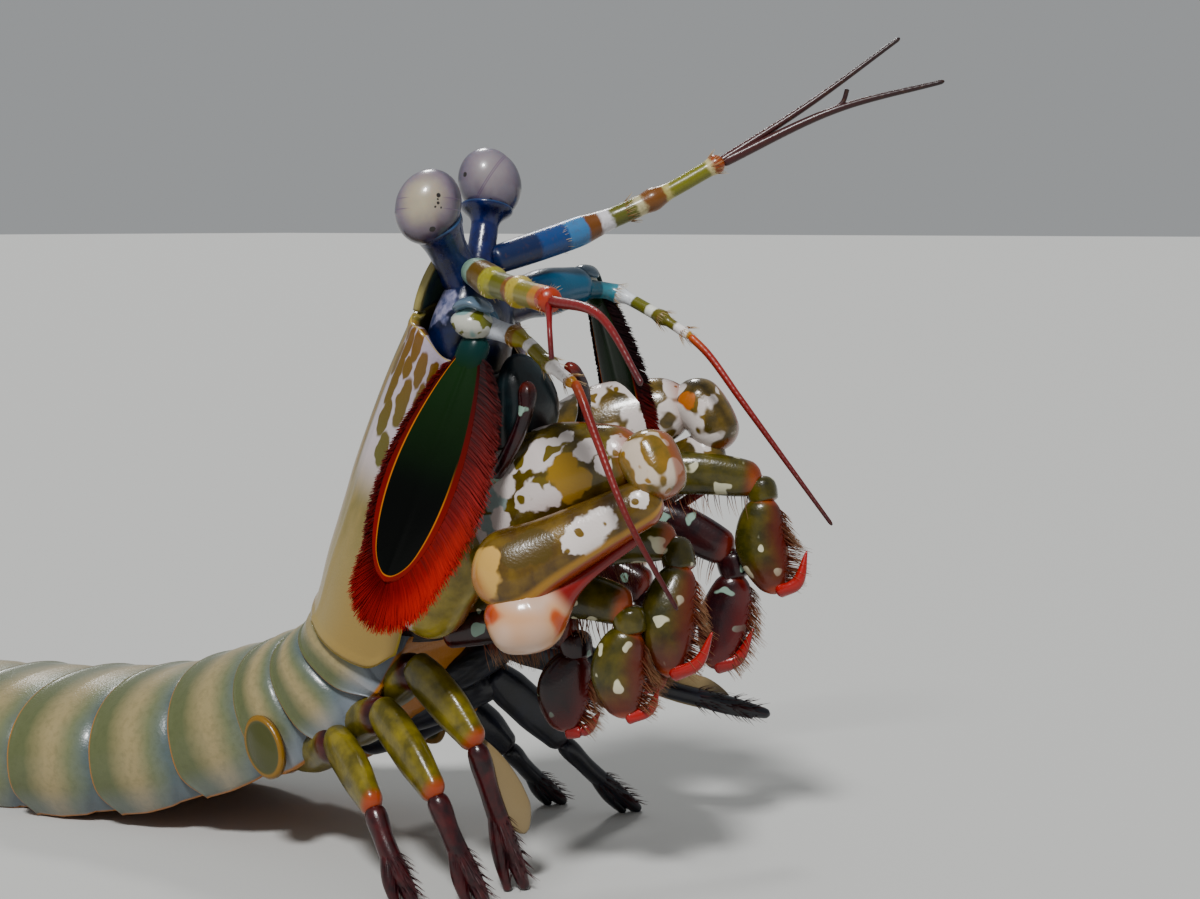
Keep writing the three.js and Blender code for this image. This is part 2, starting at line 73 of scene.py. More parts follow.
# Camera, where the photograph was taken from: a 65 mm lens about 23 cm away, low and to the front right
view = {"place": (150.78, -167.71, 65.12), "target": (14.69, 13.75, 41.28), "lens": 65.0, "sensor": 36.0}


def addCamera():
    data = bpy.data.cameras.new("camera")
    data.lens = view["lens"]
    data.sensor_width = view["sensor"]
    data.clip_start = 0.005
    data.clip_end = 20
    camera = bpy.data.objects.new("camera", data)
    place, target = Vector(toWorld(view["place"])), Vector(toWorld(view["target"]))
    camera.location = place
    camera.rotation_mode = "QUATERNION"
    camera.rotation_quaternion = (target - place).to_track_quat("-Z", "Y")
    bpy.context.scene.collection.objects.link(camera)
    bpy.context.scene.camera = camera


addCamera()
print("camera set")


# Curves and surfaces
class Spline:  # a centripetal Catmull-Rom curve, read evenly by length
    def __init__(self, points, samples=40):
        p = np.array(points, float)
        p = np.vstack([2 * p[0] - p[1], p, 2 * p[-1] - p[-2]])
        run = []
        for a, b, c, d in zip(p, p[1:], p[2:], p[3:]):
            gaps = [max(np.linalg.norm(y - x), 1e-6) ** 0.5 for x, y in ((a, b), (b, c), (c, d))]
            knots = np.cumsum([0] + gaps)
            t = np.linspace(knots[1], knots[2], samples, endpoint=False)[:, None]

            def mix(u, v, i, j):
                return ((knots[j] - t) * u + (t - knots[i]) * v) / (knots[j] - knots[i])

            ab, bc, cd = mix(a, b, 0, 1), mix(b, c, 1, 2), mix(c, d, 2, 3)
            run.append(mix(mix(ab, bc, 0, 2), mix(bc, cd, 1, 3), 1, 2))
        self.points = np.vstack(run + [p[-2:-1]])
        steps = np.linalg.norm(np.diff(self.points, axis=0), axis=1)
        self.reach = np.concatenate([[0], np.cumsum(steps)])
        self.length = self.reach[-1]

    def at(self, t):
        s = np.atleast_1d(t) * self.length
        return np.stack([np.interp(s, self.reach, self.points[:, k]) for k in range(3)], 1)

    def ahead(self, t, step=0.01):
        t = np.atleast_1d(t)
        return unit(self.at(np.clip(t + step, 0, 1)) - self.at(np.clip(t - step, 0, 1)))


def readStops(stops, t):  # stops are (t, value, value...), joined by a smooth cubic
    table = np.array(stops, float)
    x, y = table[:, 0], table[:, 1:]
    if len(x) > 2:
        slope = np.gradient(y, x, axis=0)
    else:
        slope = np.repeat(np.diff(y, axis=0) / np.diff(x), 2, axis=0)
    t = np.atleast_1d(np.clip(t, x[0], x[-1]))
    i = np.clip(np.searchsorted(x, t) - 1, 0, len(x) - 2)
    wide = (x[i + 1] - x[i])[:, None]
    k = (t - x[i])[:, None] / wide
    part = y[i] * (1 + 2 * k) * (1 - k) ** 2 + y[i + 1] * k**2 * (3 - 2 * k)
    value = part + wide * (slope[i] * k * (1 - k) ** 2 - slope[i + 1] * k**2 * (1 - k))
    lows, highs = np.minimum(y[i], y[i + 1]), np.maximum(y[i], y[i + 1])
    spread = 0.12 * (highs - lows) + 1e-9
    return np.clip(value, lows - spread, highs + spread).T


hands = {"right": 1, "left": -1}

# The body line from the tail's tip to the brow, and the way the back faces along it
bodyLine = Spline([
    (-94, -13.4, 3.4), (-76, -11.8, 4.3), (-60, -9.6, 4.9), (-44, -7, 5.4), (-28, -4.3, 7.2),
    (-14.5, -2.2, 11.4),
    (-4.4, -1, 17.3), (1.4, -1.1, 24.8), (5.6, -2.7, 33), (9.9, -4.8, 42.5), (15.1, -8, 55.5),
    (18.3, -9.9, 63),
])
backTurns = [(0, 0, 0, 1), (62, -0.1, 0.02, 1), (84, -0.35, 0.04, 0.93), (97, -0.68, 0, 0.73),
             (108, -0.88, -0.04, 0.48), (122, -0.91, -0.07, 0.4), (150, -0.91, -0.07, 0.4)]


def bodyFrame(s):
    s = np.atleast_1d(np.asarray(s, float))
    t = np.clip(s / bodyLine.length, 0, 1)
    ahead = bodyLine.ahead(t)
    table = np.array(backTurns, float)
    i = np.clip(np.searchsorted(table[:, 0], s) - 1, 0, len(table) - 2)
    k = ease((s - table[i, 0]) / (table[i + 1, 0] - table[i, 0]))[:, None]
    hint = table[i, 1:] * (1 - k) + table[i + 1, 1:] * k
    side = unit(np.cross(ahead, hint))
    centre = bodyLine.at(t) + ahead * np.maximum(s - bodyLine.length, 0)[:, None]
    return centre, ahead, side, np.cross(side, ahead)


def onBody(s, right, up):
    centre, _, side, back = bodyFrame(s)
    right, up = np.atleast_1d(right), np.atleast_1d(up)
    return centre + side * right[:, None] + back * up[:, None]


def tubeGrid(rows, cols, margin):  # places along and around a tube, flat, and the grid's shape
    tt, aa = np.meshgrid(np.linspace(margin, 1 - margin, rows),
                         np.linspace(0, 2 * np.pi, cols, endpoint=False), indexing="ij")
    return tt.ravel(), aa.ravel(), tt.shape


def gridPart(points, closed=False, poles=False, **values):
    # points is rows x columns x 3; closed joins the last column to the first, poles close both ends
    rows, cols = points.shape[:2]
    verts = points.reshape(-1, 3)
    index = np.arange(rows * cols).reshape(rows, cols)
    right = np.roll(index, -1, axis=1) if closed else index[:, 1:]
    left = index if closed else index[:, :-1]
    faces = np.stack([left[:-1], right[:-1], right[1:], left[1:]], -1).reshape(-1, 4).tolist()
    data = {}
    for name, value in values.items():
        data[name] = np.broadcast_to(np.asarray(value, float), (rows, cols)).reshape(-1)
    if poles:
        for row, ring in ((0, index[0]), (rows - 1, index[-1])):
            verts = np.vstack([verts, points[row].mean(0)])
            for name in data:
                data[name] = np.append(data[name], data[name][ring].mean())
            tip = len(verts) - 1
            pairs = zip(ring, np.roll(ring, -1))
            faces += [[tip, b, a] if row == 0 else [tip, a, b] for a, b in pairs]
    return {"verts": verts, "faces": faces, "data": data}


def joinParts(parts):
    names = sorted({name for part in parts for name in part["data"]})
    verts, faces, data, base = [], [], {name: [] for name in names}, 0
    for part in parts:
        count = len(part["verts"])
        verts.append(part["verts"])
        faces += [[v + base for v in face] for face in part["faces"]]
        for name in names:
            data[name].append(part["data"].get(name, np.zeros(count)))
        base += count
    joined = {name: np.concatenate(values) for name, values in data.items()}
    return {"verts": np.vstack(verts), "faces": faces, "data": joined}


def addPiece(name, parts, material, slot=None):
    # without a slot of its own, a piece takes the place of the node that has its name, and that node is
    # hidden
    part = joinParts(parts if isinstance(parts, list) else [parts])
    mesh = bpy.data.meshes.new(name)
    part["verts"][:, 2] = np.maximum(part["verts"][:, 2], 0)
    mesh.from_pydata(toWorld(part["verts"]).tolist(), [], part["faces"])
    for key, values in part["data"].items():
        mesh.attributes.new(key, "FLOAT", "POINT").data.foreach_set("value", values.astype(np.float32))
    mesh.polygons.foreach_set("use_smooth", [True] * len(mesh.polygons))
    mesh.materials.append(material)
    mesh.update()
    obj = bpy.data.objects.new(name, mesh)
    bpy.context.scene.collection.objects.link(obj)
    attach(obj, "root")
    if not slot:
        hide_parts(name)
    return obj


class Limb:  # an oval length along a path; stops are (t, half width, half height), or (t, half width)
    def __init__(self, path, stops, up=(0, 0, 1), square=2.0, ends=(0.1, 0.1)):
        self.line = Spline(path)
        self.stops = [(stop[0], stop[1], stop[-1]) for stop in stops]
        self.up, self.square, self.ends = np.array(up, float), square, ends

    def surface(self, t, angle, grow=0.0):
        t, angle = np.broadcast_arrays(np.atleast_1d(np.asarray(t, float)),
                                       np.atleast_1d(np.asarray(angle, float)))
        centre, ahead = self.line.at(t), self.line.ahead(t, 0.02)
        side = unit(np.cross(ahead, self.up))
        top = np.cross(side, ahead)
        wide, high = readStops(self.stops, t)
        first, last = self.ends
        near = np.clip(t / max(first, 1e-6), 0, 1)
        far = np.clip((1 - t) / max(last, 1e-6), 0, 1)
        tip = np.sqrt(np.clip(1 - (1 - near) ** 2, 0, 1)) * np.sqrt(np.clip(1 - (1 - far) ** 2, 0, 1))
        c, s = np.cos(angle), np.sin(angle)
        power = 2 / self.square
        x = np.sign(s) * np.abs(s) ** power * (wide + grow) * tip
        z = np.sign(c) * np.abs(c) ** power * (high + grow) * tip
        out = unit(side * (s / np.maximum(wide, 0.1))[:, None] + top * (c / np.maximum(high, 0.1))[:, None])
        return centre + side * x[:, None] + top * z[:, None], out, ahead

    def part(self, rows=36, cols=20, seg=0.0):
        k = np.linspace(0.004, 0.996, rows)
        t = 0.5 - 0.5 * np.cos(np.pi * k)
        t = 0.5 * t + 0.5 * k
        angle = np.linspace(0, 2 * np.pi, cols, endpoint=False)
        tt, aa = np.meshgrid(t, angle, indexing="ij")
        points, _, _ = self.surface(tt.ravel(), aa.ravel())
        return gridPart(points.reshape(rows, cols, 3), closed=True, poles=True, along=tt, top=np.cos(aa),
                        side=np.sin(aa), seg=seg, run=tt * self.line.length)


# Materials
def linear(hexColour):
    parts = [int(hexColour[i:i + 2], 16) / 255 for i in (1, 3, 5)]
    return tuple(p / 12.92 if p <= 0.04045 else ((p + 0.055) / 1.055) ** 2.4 for p in parts) + (1.0,)


def addNode(tree, kind, links=None, values=None, stops=None, **settings):
    node = tree.nodes.new(kind)
    for key, value in settings.items():
        setattr(node, key, value)
    for socket, value in (values or {}).items():
        node.inputs[socket].default_value = value
    for socket, source in (links or {}).items():
        tree.links.new(source, node.inputs[socket])
    if stops:
        band = node.color_ramp.elements
        for position, _ in sorted(stops)[1:-1]:
            band.new(position)
        for element, (position, colour) in zip(band, sorted(stops)):
            element.position = position
            element.color = linear(colour)
    return node


def startMaterial(name):
    material = bpy.data.materials.new(name)
    material.use_nodes = True
    material.node_tree.nodes.clear()
    return material, material.node_tree


def attribute(tree, name):
    return addNode(tree, "ShaderNodeAttribute", attribute_name=name).outputs["Fac"]


def objectPlace(tree):
    return addNode(tree, "ShaderNodeTexCoord").outputs["Object"]


def speckle(tree, sizeMm, detail=3.0, rough=0.55, result="Fac"):
    noise = addNode(tree, "ShaderNodeTexNoise", {"Vector": objectPlace(tree)},
                    {"Scale": 1 / (sizeMm * mm), "Detail": detail, "Roughness": rough})
    return noise.outputs[result]


def blend(tree, factor, low, high):
    node = addNode(tree, "ShaderNodeMix", data_type="RGBA")
    for socket, value in ((0, factor), (6, low), (7, high)):
        if isinstance(value, str):
            node.inputs[socket].default_value = linear(value)
        elif isinstance(value, (int, float)):
            node.inputs[socket].default_value = value
        else:
            tree.links.new(value, node.inputs[socket])
    return node.outputs[2]


def sums(tree, how, a, b=0.0):
    node = addNode(tree, "ShaderNodeMath", operation=how)
    for socket, value in enumerate((a, b)):
        if isinstance(value, (int, float)):
            node.inputs[socket].default_value = value
        else:
            tree.links.new(value, node.inputs[socket])
    return node.outputs[0]


def fade(tree, value, low, high):  # 0 below low, 1 above high
    return addNode(tree, "ShaderNodeMapRange", {"Value": value}, {"From Min": low, "From Max": high},
                   interpolation_type="SMOOTHSTEP").outputs[0]


def ramp(tree, value, stops):
    return addNode(tree, "ShaderNodeValToRGB", {"Fac": value}, stops=stops).outputs["Color"]


def twoTone(tree, sizeMm, tones):
    return ramp(tree, speckle(tree, sizeMm), [(0.35, tones[0]), (0.7, tones[1])])


def product(tree, a, b):
    return sums(tree, "MULTIPLY", a, b)


def inverse(tree, value):
    return sums(tree, "SUBTRACT", 1, value)


def waver(tree, value, noise, amount):  # moves a value to either side by the noise
    return sums(tree, "ADD", value, product(tree, sums(tree, "SUBTRACT", noise, 0.5), amount))


def vectors(tree, how, a, b=None, scale=None):
    links, values = {0: a}, {}
    for socket, value in ((1, b), (3, scale)):
        if value is not None:
            (values if isinstance(value, (tuple, float)) else links)[socket] = value
    node = addNode(tree, "ShaderNodeVectorMath", links, values, operation=how)
    return node.outputs["Value" if how in ("LENGTH", "DISTANCE", "DOT_PRODUCT") else "Vector"]


def nearer(tree, nearest, value):
    return value if nearest is None else sums(tree, "MINIMUM", nearest, value)


def addSurface(tree, links, values):
    shade = addNode(tree, "ShaderNodeBsdfPrincipled", links, values)
    addNode(tree, "ShaderNodeOutputMaterial", {"Surface": shade.outputs[0]})


def cuticle(tree, colour, rough=0.3, coat=0.5, pitMm=0.25, depth=0.03, height=None, shine=0.4):
    # Hardened shell: glossy, with fine pits
    pits = speckle(tree, pitMm, 2)
    if height:
        pits = sums(tree, "ADD", pits, product(tree, height, 6))
    bump = addNode(tree, "ShaderNodeBump", {"Height": pits}, {"Distance": depth * mm, "Strength": 0.8})
    addSurface(tree, {"Base Color": colour, "Normal": bump.outputs[0]},
               {"Roughness": rough, "IOR": 1.5, "Specular IOR Level": shine, "Coat Weight": coat * 0.6,
                "Coat Roughness": 0.12})


noiseMiddle = (0.5, 0.5, 0.5)
spotEdge = (0.88, 1.08)  # a spot fades out over this share of its radius


def spotMask(tree, spots, wobbleMm, wobbleSize):
    # 1 inside any of the spots, which are (x, y, z, radius) in mm, with a ragged edge
    noise = vectors(tree, "SUBTRACT", speckle(tree, wobbleSize, 2, result="Color"), noiseMiddle)
    place = vectors(tree, "ADD", vectors(tree, "SCALE", noise, scale=2 * wobbleMm * mm), objectPlace(tree))
    nearest = None
    for x, y, z, radius in spots:
        reach = vectors(tree, "DISTANCE", place, tuple(toWorld((x, y, z))))
        nearest = nearer(tree, nearest, sums(tree, "DIVIDE", reach, radius * mm))
    return inverse(tree, fade(tree, nearest, *spotEdge))


# Belly rings and free thorax rings, with their places along the body line in mm
bellySize = {"front": 84.2, "step": 11, "ring": 10.5, "halfWidth": 14, "height": 9.2}
ringLook = {"rim": "#b06c12", "rear": "#545a38", "middle": "#8f815a", "front": "#5a6456",
            "sideTint": "#7c8492"}


def ringMaterial(name, pale=0.3):
    # Grey-olive plate: a blue-grey front band, a cream middle band, a fine orange hem and a wet gloss
    material, tree = startMaterial(name)
    along, hem = attribute(tree, "along"), attribute(tree, "hem")
    uneven = speckle(tree, 4, 3)
    shifted = waver(tree, along, uneven, 0.16)
    plate = ramp(tree, shifted, [(0.0, ringLook["rear"]), (0.24, ringLook["rear"]),
                                 (0.5, ringLook["middle"]), (0.6, ringLook["middle"]), (0.78, "#666b4c"),
                                 (0.9, ringLook["front"]), (0.98, "#4c5a5a")])
    freckles = fade(tree, speckle(tree, 0.7, 4), 0.42, 0.7)
    plate = blend(tree, product(tree, freckles, 0.22), plate, "#3f4526")
    plate = blend(tree, product(tree, fade(tree, hem, 0.35, 0.85), pale), plate, ringLook["sideTint"])
    rim = sums(tree, "MAXIMUM", inverse(tree, fade(tree, along, 0.02, 0.04)), fade(tree, hem, 0.93, 0.965))
    plate = blend(tree, rim, plate, ringLook["rim"])
    cuticle(tree, plate, rough=0.34, coat=0.35, depth=0.04)
    return material


def ringSection(angle, wide, high, drop, hollow):
    across, rise = np.sin(angle), np.cos(angle)
    right = np.sign(across) * np.abs(across) ** 0.85 * wide
    low = np.minimum(1, -rise * 1.6)
    under = hollow * ease((-rise - 0.6) / 0.4)
    up = np.where(rise >= 0, np.abs(rise) ** 0.9 * high, -drop * low + under)
    return right, up, np.clip(low, 0, 1)


def ringPart(rear, front, wide, high, drop, hollow, tuck, lobe):
    # Rows run from the plate's rear edge to the part tucked under the plate ahead
    rows, cols, bulge = 30, 96, 0.25
    length = front - rear
    t = np.concatenate([[-0.02, 0.0, 0.012, 0.03], np.linspace(0.06, 0.97, rows), [1.0, 1 + tuck / length]])
    step = np.interp(t, [-0.02, 0, 0.012, 0.03, 0.08, 0.5, 0.9, 0.99, 1.02, 2],
                     [-1.6, -0.3, 0, 0.1, -0.02, bulge, -0.1, -0.45, -0.8, -0.9])
    angle = np.linspace(-np.pi, np.pi, cols, endpoint=False)
    tt, aa = np.meshgrid(t, angle, indexing="ij")
    grow = np.broadcast_to(step[:, None], tt.shape)
    forward = np.clip(tt, 0, 1)
    w = (wide[0] + (wide[1] - wide[0]) * forward) + grow
    h = (high[0] + (high[1] - high[0]) * forward) + grow
    right, up, hem = ringSection(aa, w, h, drop + grow * 0.5, hollow)
    hemness = ease((np.abs(up) * (up < 0) / drop - 0.1) / 0.9)
    middle = 0.5 - 0.12 * lobe
    tucked = np.where(tt <= 1, middle + (tt - middle) * (1 - (0.2 + 0.5 * lobe) * hemness**3), tt)
    s = rear + length * tucked
    points = onBody(s.ravel(), right.ravel(), up.ravel()).reshape(tt.shape + (3,))
    points[..., 2] = np.maximum(points[..., 2], 0.0)
    return gridPart(points, closed=True, poles=True, along=forward, hem=hem, run=s)


def buildRings():
    plates = [
        ("thorax_6", 97.5, 102.9, (12.6, 12.0), (7.1, 6.6), 7.0, 2.0, 1.0),
        ("thorax_7", 91.1, 97.0, (13.3, 12.7), (7.8, 7.2), 7.4, 2.0, 1.0),
        ("thorax_8", 84.7, 90.6, (13.7, 13.0), (8.6, 8.0), 6.6, 2.0, 0.6),
    ]
    for n in range(1, 6):
        front = bellySize["front"] - (n - 1) * bellySize["step"]
        half, rise = bellySize["halfWidth"] * (1 - 0.05 * abs(n - 3)), bellySize["height"] - 0.3 * n
        plates.append((f"abdomen_{n}", front - bellySize["ring"], front, (half + 0.4, half - 0.3),
                       (rise + 0.4, rise - 0.2), 6.0, 4.5, 0.25))
    plates.append(("abdomen_6", 20.7, 29.2, (11.7, 12.8), (6.5, 8.0), 4.6, 1.0, 0.2))
    shell = ringMaterial("tinned olive plate")
    lobes = ringMaterial("pale lobed plate", pale=0.75)
    for name, rear, front, wide, high, drop, hollow, lobe in plates:
        thorax = name.startswith("thorax")
        tuck = 2.4 if name != "thorax_6" else 1.6
        part = ringPart(rear, front, wide, high, drop, hollow, tuck, lobe)
        addPiece(name, part, lobes if thorax else shell)
    buildOvals()
    print("rings made")


def buildOvals():
    # The small lobe at each front corner of the belly: dark olive shell with an ochre rim, glossy
    material, tree = startMaterial("olive oval lobe")
    cuticle(tree, blend(tree, fade(tree, attribute(tree, "edge"), 0.8, 0.88), "#3c3e18", "#7c5808"),
            rough=0.3, coat=0.5)
    for name, hand in hands.items():
        centre, ahead, side, back = (v[0] for v in bodyFrame(87.2))
        middle = centre + side * hand * 13.9 - back * 3.6
        turn, reach = np.meshgrid(np.linspace(0, 2 * np.pi, 40, endpoint=False), np.linspace(0.02, 1, 12),
                                  indexing="xy")
        flat = each(ahead, 2.3 * reach * np.cos(turn)) + each(back, 3.4 * reach * np.sin(turn))
        crown = side * hand
        swell = 0.7 * (1 - reach**2) + 0.25 * np.exp(-((reach - 0.9) / 0.07) ** 2)
        front = middle + flat + each(crown, swell)
        rear = middle + flat * 0.98 - crown * 0.5
        points = np.concatenate([front, rear[::-1]], axis=0)
        part = gridPart(points, closed=True, poles=True, edge=np.concatenate([reach, reach[::-1]], axis=0))
        fixNormals(addPiece(f"belly_lobe_{name}", part, material, slot="shell_olive"))


# Carapace: a curved shield with two shallow grooves, rounded corners and a fine raised rim
carapaceSize = {"rear": 103.4, "length": 34.4, "wall": 0.9, "hemTurn": 2.25, "ovals": 1.22}
carapaceStops = [(0, 13.0, 6.9, 7.0), (0.25, 12.3, 7.2, 6.4), (0.5, 11.0, 7.2, 5.2), (0.78, 8.8, 5.9, 3.6),
                 (1, 6.4, 4.3, 2.6)]


carapaceOvals = [  # across the flank, along it, half width and half length, all in mm
    (15.0, 33.4, 0.9, 1.9), (13.0, 32.6, 0.8, 1.5), (13.4, 35.0, 0.6, 0.6), (13.0, 29.0, 0.85, 2.1),
    (14.7, 30.6, 0.8, 0.9), (13.6, 25.2, 0.85, 1.7), (15.9, 27.6, 0.9, 2.0), (14.9, 22.4, 0.8, 1.6),
    (17.2, 31.4, 0.9, 1.6), (17.7, 24.6, 0.9, 2.2), (18.8, 28.4, 0.9, 1.9), (11.4, 34.0, 0.7, 1.2),
    (11.2, 30.8, 0.7, 1.5), (16.6, 20.4, 0.8, 1.6), (19.8, 31.8, 0.8, 1.4), (20.4, 24.4, 0.8, 1.8),
]


def carapaceMaterial():
    # Carapace shell: lilac-white flanks with long olive-brown ovals, a smooth olive-tan back, a wet gloss
    material, tree = startMaterial("leopard carapace shell")
    along, around, rim = attribute(tree, "along"), attribute(tree, "turn"), attribute(tree, "rim")
    acrossMm, runMm = attribute(tree, "acrossMm"), attribute(tree, "run")
    place = addNode(tree, "ShaderNodeCombineXYZ", {0: acrossMm, 1: product(tree, runMm, 0.42)})
    flat = addNode(tree, "ShaderNodeCombineXYZ", {0: sums(tree, "ABSOLUTE", acrossMm), 1: runMm}).outputs[0]
    shiver = addNode(tree, "ShaderNodeTexNoise", {"Vector": flat},
                     {"Scale": 0.7, "Detail": 1.0}).outputs["Color"]
    flat = vectors(tree, "ADD", flat, vectors(tree, "SUBTRACT", shiver, noiseMiddle))
    nearest = None
    for across, run, wide, long in carapaceOvals:
        wide, long = wide * carapaceSize["ovals"], long * carapaceSize["ovals"]
        gap = vectors(tree, "SUBTRACT", flat, (across, run, 0))
        gap = vectors(tree, "LENGTH", vectors(tree, "MULTIPLY", gap, (1 / wide, 1 / long, 0)))
        nearest = nearer(tree, nearest, gap)
    oval = inverse(tree, fade(tree, nearest, *spotEdge))
    spots = ramp(tree, along, [(0.0, "#6a5a14"), (0.6, "#54500a"), (1.0, "#6a460a")])
    ground = ramp(tree, along, [(0.2, "#a8946a"), (0.7, "#bcb0b6"), (0.95, "#a89aaa")])
    flank = blend(tree, oval, ground, spots)
    streaks = addNode(tree, "ShaderNodeTexNoise", {"Vector": place.outputs[0]},
                      {"Scale": 0.8, "Detail": 4.0})
    back = ramp(tree, streaks.outputs["Fac"], [(0.3, "#5a5618"), (0.7, "#86743a")])
    back = blend(tree, fade(tree, along, 0.7, 0.1), back, "#94804c")
    away = sums(tree, "ABSOLUTE", around)
    patterned = product(tree, fade(tree, away, 0.45, 0.5), fade(tree, along, 0.45, 0.62))
    colour = blend(tree, patterned, back, flank)
    colour = blend(tree, product(tree, fade(tree, away, 0.62, 0.8), fade(tree, along, 0.34, 0.2)),
                   colour, "#94793a")
    ridge = product(tree, fade(tree, away, 0.38, 0.42), inverse(tree, fade(tree, away, 0.44, 0.47)))
    colour = blend(tree, product(tree, ridge, 0.7), colour, "#8f6c2a")
    colour = blend(tree, fade(tree, rim, 0.9, 0.97), colour, "#b49a35")
    cuticle(tree, colour, rough=0.3, coat=0.45)
    return material


def carapaceSurface(t, a):
    wide, high, drop = readStops(carapaceStops, t)
    groove = -0.35 * np.exp(-((np.abs(a) - 0.62) / 0.09) ** 2) * ease((t - 0.08) / 0.2)
    centre = -0.22 * np.exp(-(a / 0.05) ** 2)
    bead = 0.14 * np.exp(-((np.abs(a) - 1.25) / 0.05) ** 2)
    grow = groove + centre + bead
    right, up, _ = ringSection(a, wide + grow, high + grow, drop, 0)
    hem = ease((np.abs(a) - 1.2) / 1.05)
    rearEdge = -1.3 * np.exp(-((np.abs(a) - 1.75) / 0.45) ** 2) + 2.6 * ease((np.abs(a) - 2.0) / 0.25) ** 2
    middle = 0.8 * np.exp(-(a / 0.7) ** 2)
    frontEdge = -2.4 * hem**1.5 - 1.0 * np.exp(-((np.abs(a) - 1.0) / 0.25) ** 2) * 0.4
    s = carapaceSize["rear"] + carapaceSize["length"] * t
    s = s + (rearEdge + middle) * (1 - t) ** 3 + frontEdge * t**3
    return onBody(s, right, up)


def buildCarapace():
    rows, cols, hem = 60, 120, carapaceSize["hemTurn"]
    t, a = np.meshgrid(np.linspace(0, 1, rows), np.linspace(-hem, hem, cols), indexing="ij")
    flat = carapaceSurface(t.ravel(), a.ravel())
    outer = flat.reshape(rows, cols, 3)
    normal = unit(np.cross(np.gradient(outer, axis=1), np.gradient(outer, axis=0)))
    edge = np.minimum(np.minimum(t, 1 - t) * carapaceSize["length"],
                      (hem - np.abs(a)) * 7)
    rimLift = 0.16 * np.exp(-((edge - 0.35) / 0.35) ** 2)
    centre = bodyFrame((carapaceSize["rear"] + carapaceSize["length"] * t).ravel())[0].reshape(outer.shape)
    normal *= np.sign(np.sum(normal * (outer - centre), axis=-1, keepdims=True).mean())
    outer = outer + normal * rimLift[..., None]
    inner = outer - normal * carapaceSize["wall"]
    rim = np.exp(-(edge / 0.75) ** 2)
    data = dict(along=t, turn=a / hem, acrossMm=a * 10, run=t * carapaceSize["length"])
    top = gridPart(outer, rim=rim, **data)
    under = gridPart(inner, rim=rim * 0, **data)
    under["faces"] = [face[::-1] for face in under["faces"]]
    part = joinParts([top, under])
    index = np.arange(rows * cols).reshape(rows, cols)
    border = np.concatenate([index[0, :-1], index[:-1, -1], index[-1, :0:-1], index[:0:-1, 0]])
    size = rows * cols
    following = np.roll(border, -1)
    part["faces"] += [[a1, a1 + size, b1 + size, b1] for a1, b1 in zip(border.tolist(), following.tolist())]
    fixNormals(addPiece("carapace", part, carapaceMaterial()))


def addBodyTube(name, t, shape, points, material):
    part = gridPart(points.reshape(shape + (3,)), closed=True, poles=True, along=t.reshape(shape))
    fixNormals(addPiece(name, part, material))


def fixNormals(obj):
    work = bmesh.new()
    work.from_mesh(obj.data)
    bmesh.ops.recalc_face_normals(work, faces=work.faces)
    work.to_mesh(obj.data)
    work.free()


rostrumSize = {"halfWidth": 4.2, "length": 6.4, "thick": 0.7}


def buildRostrum():
    base = carapaceSize["rear"] + carapaceSize["length"] + 0.1
    rows, cols = 28, 33
    t, k = np.meshgrid(np.linspace(0, 1, rows), np.linspace(-1, 1, cols), indexing="ij")
    wide = rostrumSize["halfWidth"] * (1 - t**1.9) ** 0.75 + 0.15
    up = 4.05 - 0.55 * (k * wide / 4.2) ** 2 - 0.5 * t**2
    run = (base + rostrumSize["length"] * t).ravel()
    top = onBody(run, (k * wide).ravel(), up.ravel()).reshape(rows, cols, 3)
    low = onBody(run, (k * wide * 0.97).ravel(), (up - rostrumSize["thick"]).ravel()).reshape(rows, cols, 3)
    edge = np.maximum(np.abs(k), t)
    rim = ease((edge - 0.82) / 0.1)
    ring = np.concatenate([top, low[:, ::-1]], axis=1)
    part = gridPart(ring, closed=True, poles=False, rim=np.concatenate([rim, rim[:, ::-1]], axis=1),
                    along=np.concatenate([t, t], axis=1))
    for start in (0, (rows - 1) * cols * 2):
        row = list(range(start, start + 2 * cols))
        back = row[::-1]
        part["faces"] += [[row[i], row[i + 1], back[i + 1], back[i]] for i in range(cols - 1)]
    # thin shell, slate to olive, with a pale rim that catches the light
    material, tree = startMaterial("rostral plate shell")
    shade = twoTone(tree, 1.2, ("#2c3d4a", "#48604f"))
    cuticle(tree, blend(tree, attribute(tree, "rim"), shade, "#8f8348"), rough=0.28)
    fixNormals(addPiece("rostral_plate", part, material))


# Head, stalks and eyes
headLook = {"deep": "#01061c", "mid": "#061a4a"}


def blueCuticle(name, low, share):
    # Near-black ultramarine skin with a lilac patch on its flank, wet and dark, so that the eyes stand out
    material, tree = startMaterial(name)
    along = attribute(tree, "along")
    uneven = speckle(tree, 1.6, 3)
    moved = waver(tree, along, uneven, 0.25)
    blue = ramp(tree, uneven, [(0.3, headLook["deep"]), (0.75, headLook["mid"])])
    colour = blend(tree, fade(tree, moved, *share), low, blue)
    flank = [(16.0, -13.2, 58.4, 2.0), (14.4, -11.6, 57.2, 2.3)]
    lilac = ramp(tree, speckle(tree, 1.1, 3), [(0.36, "#3a4468"), (0.62, "#8f8ca8")])
    colour = blend(tree, spotMask(tree, flank, 1.1, 1.4), colour, lilac)
    cuticle(tree, colour, rough=0.3, coat=0.4)
    return material


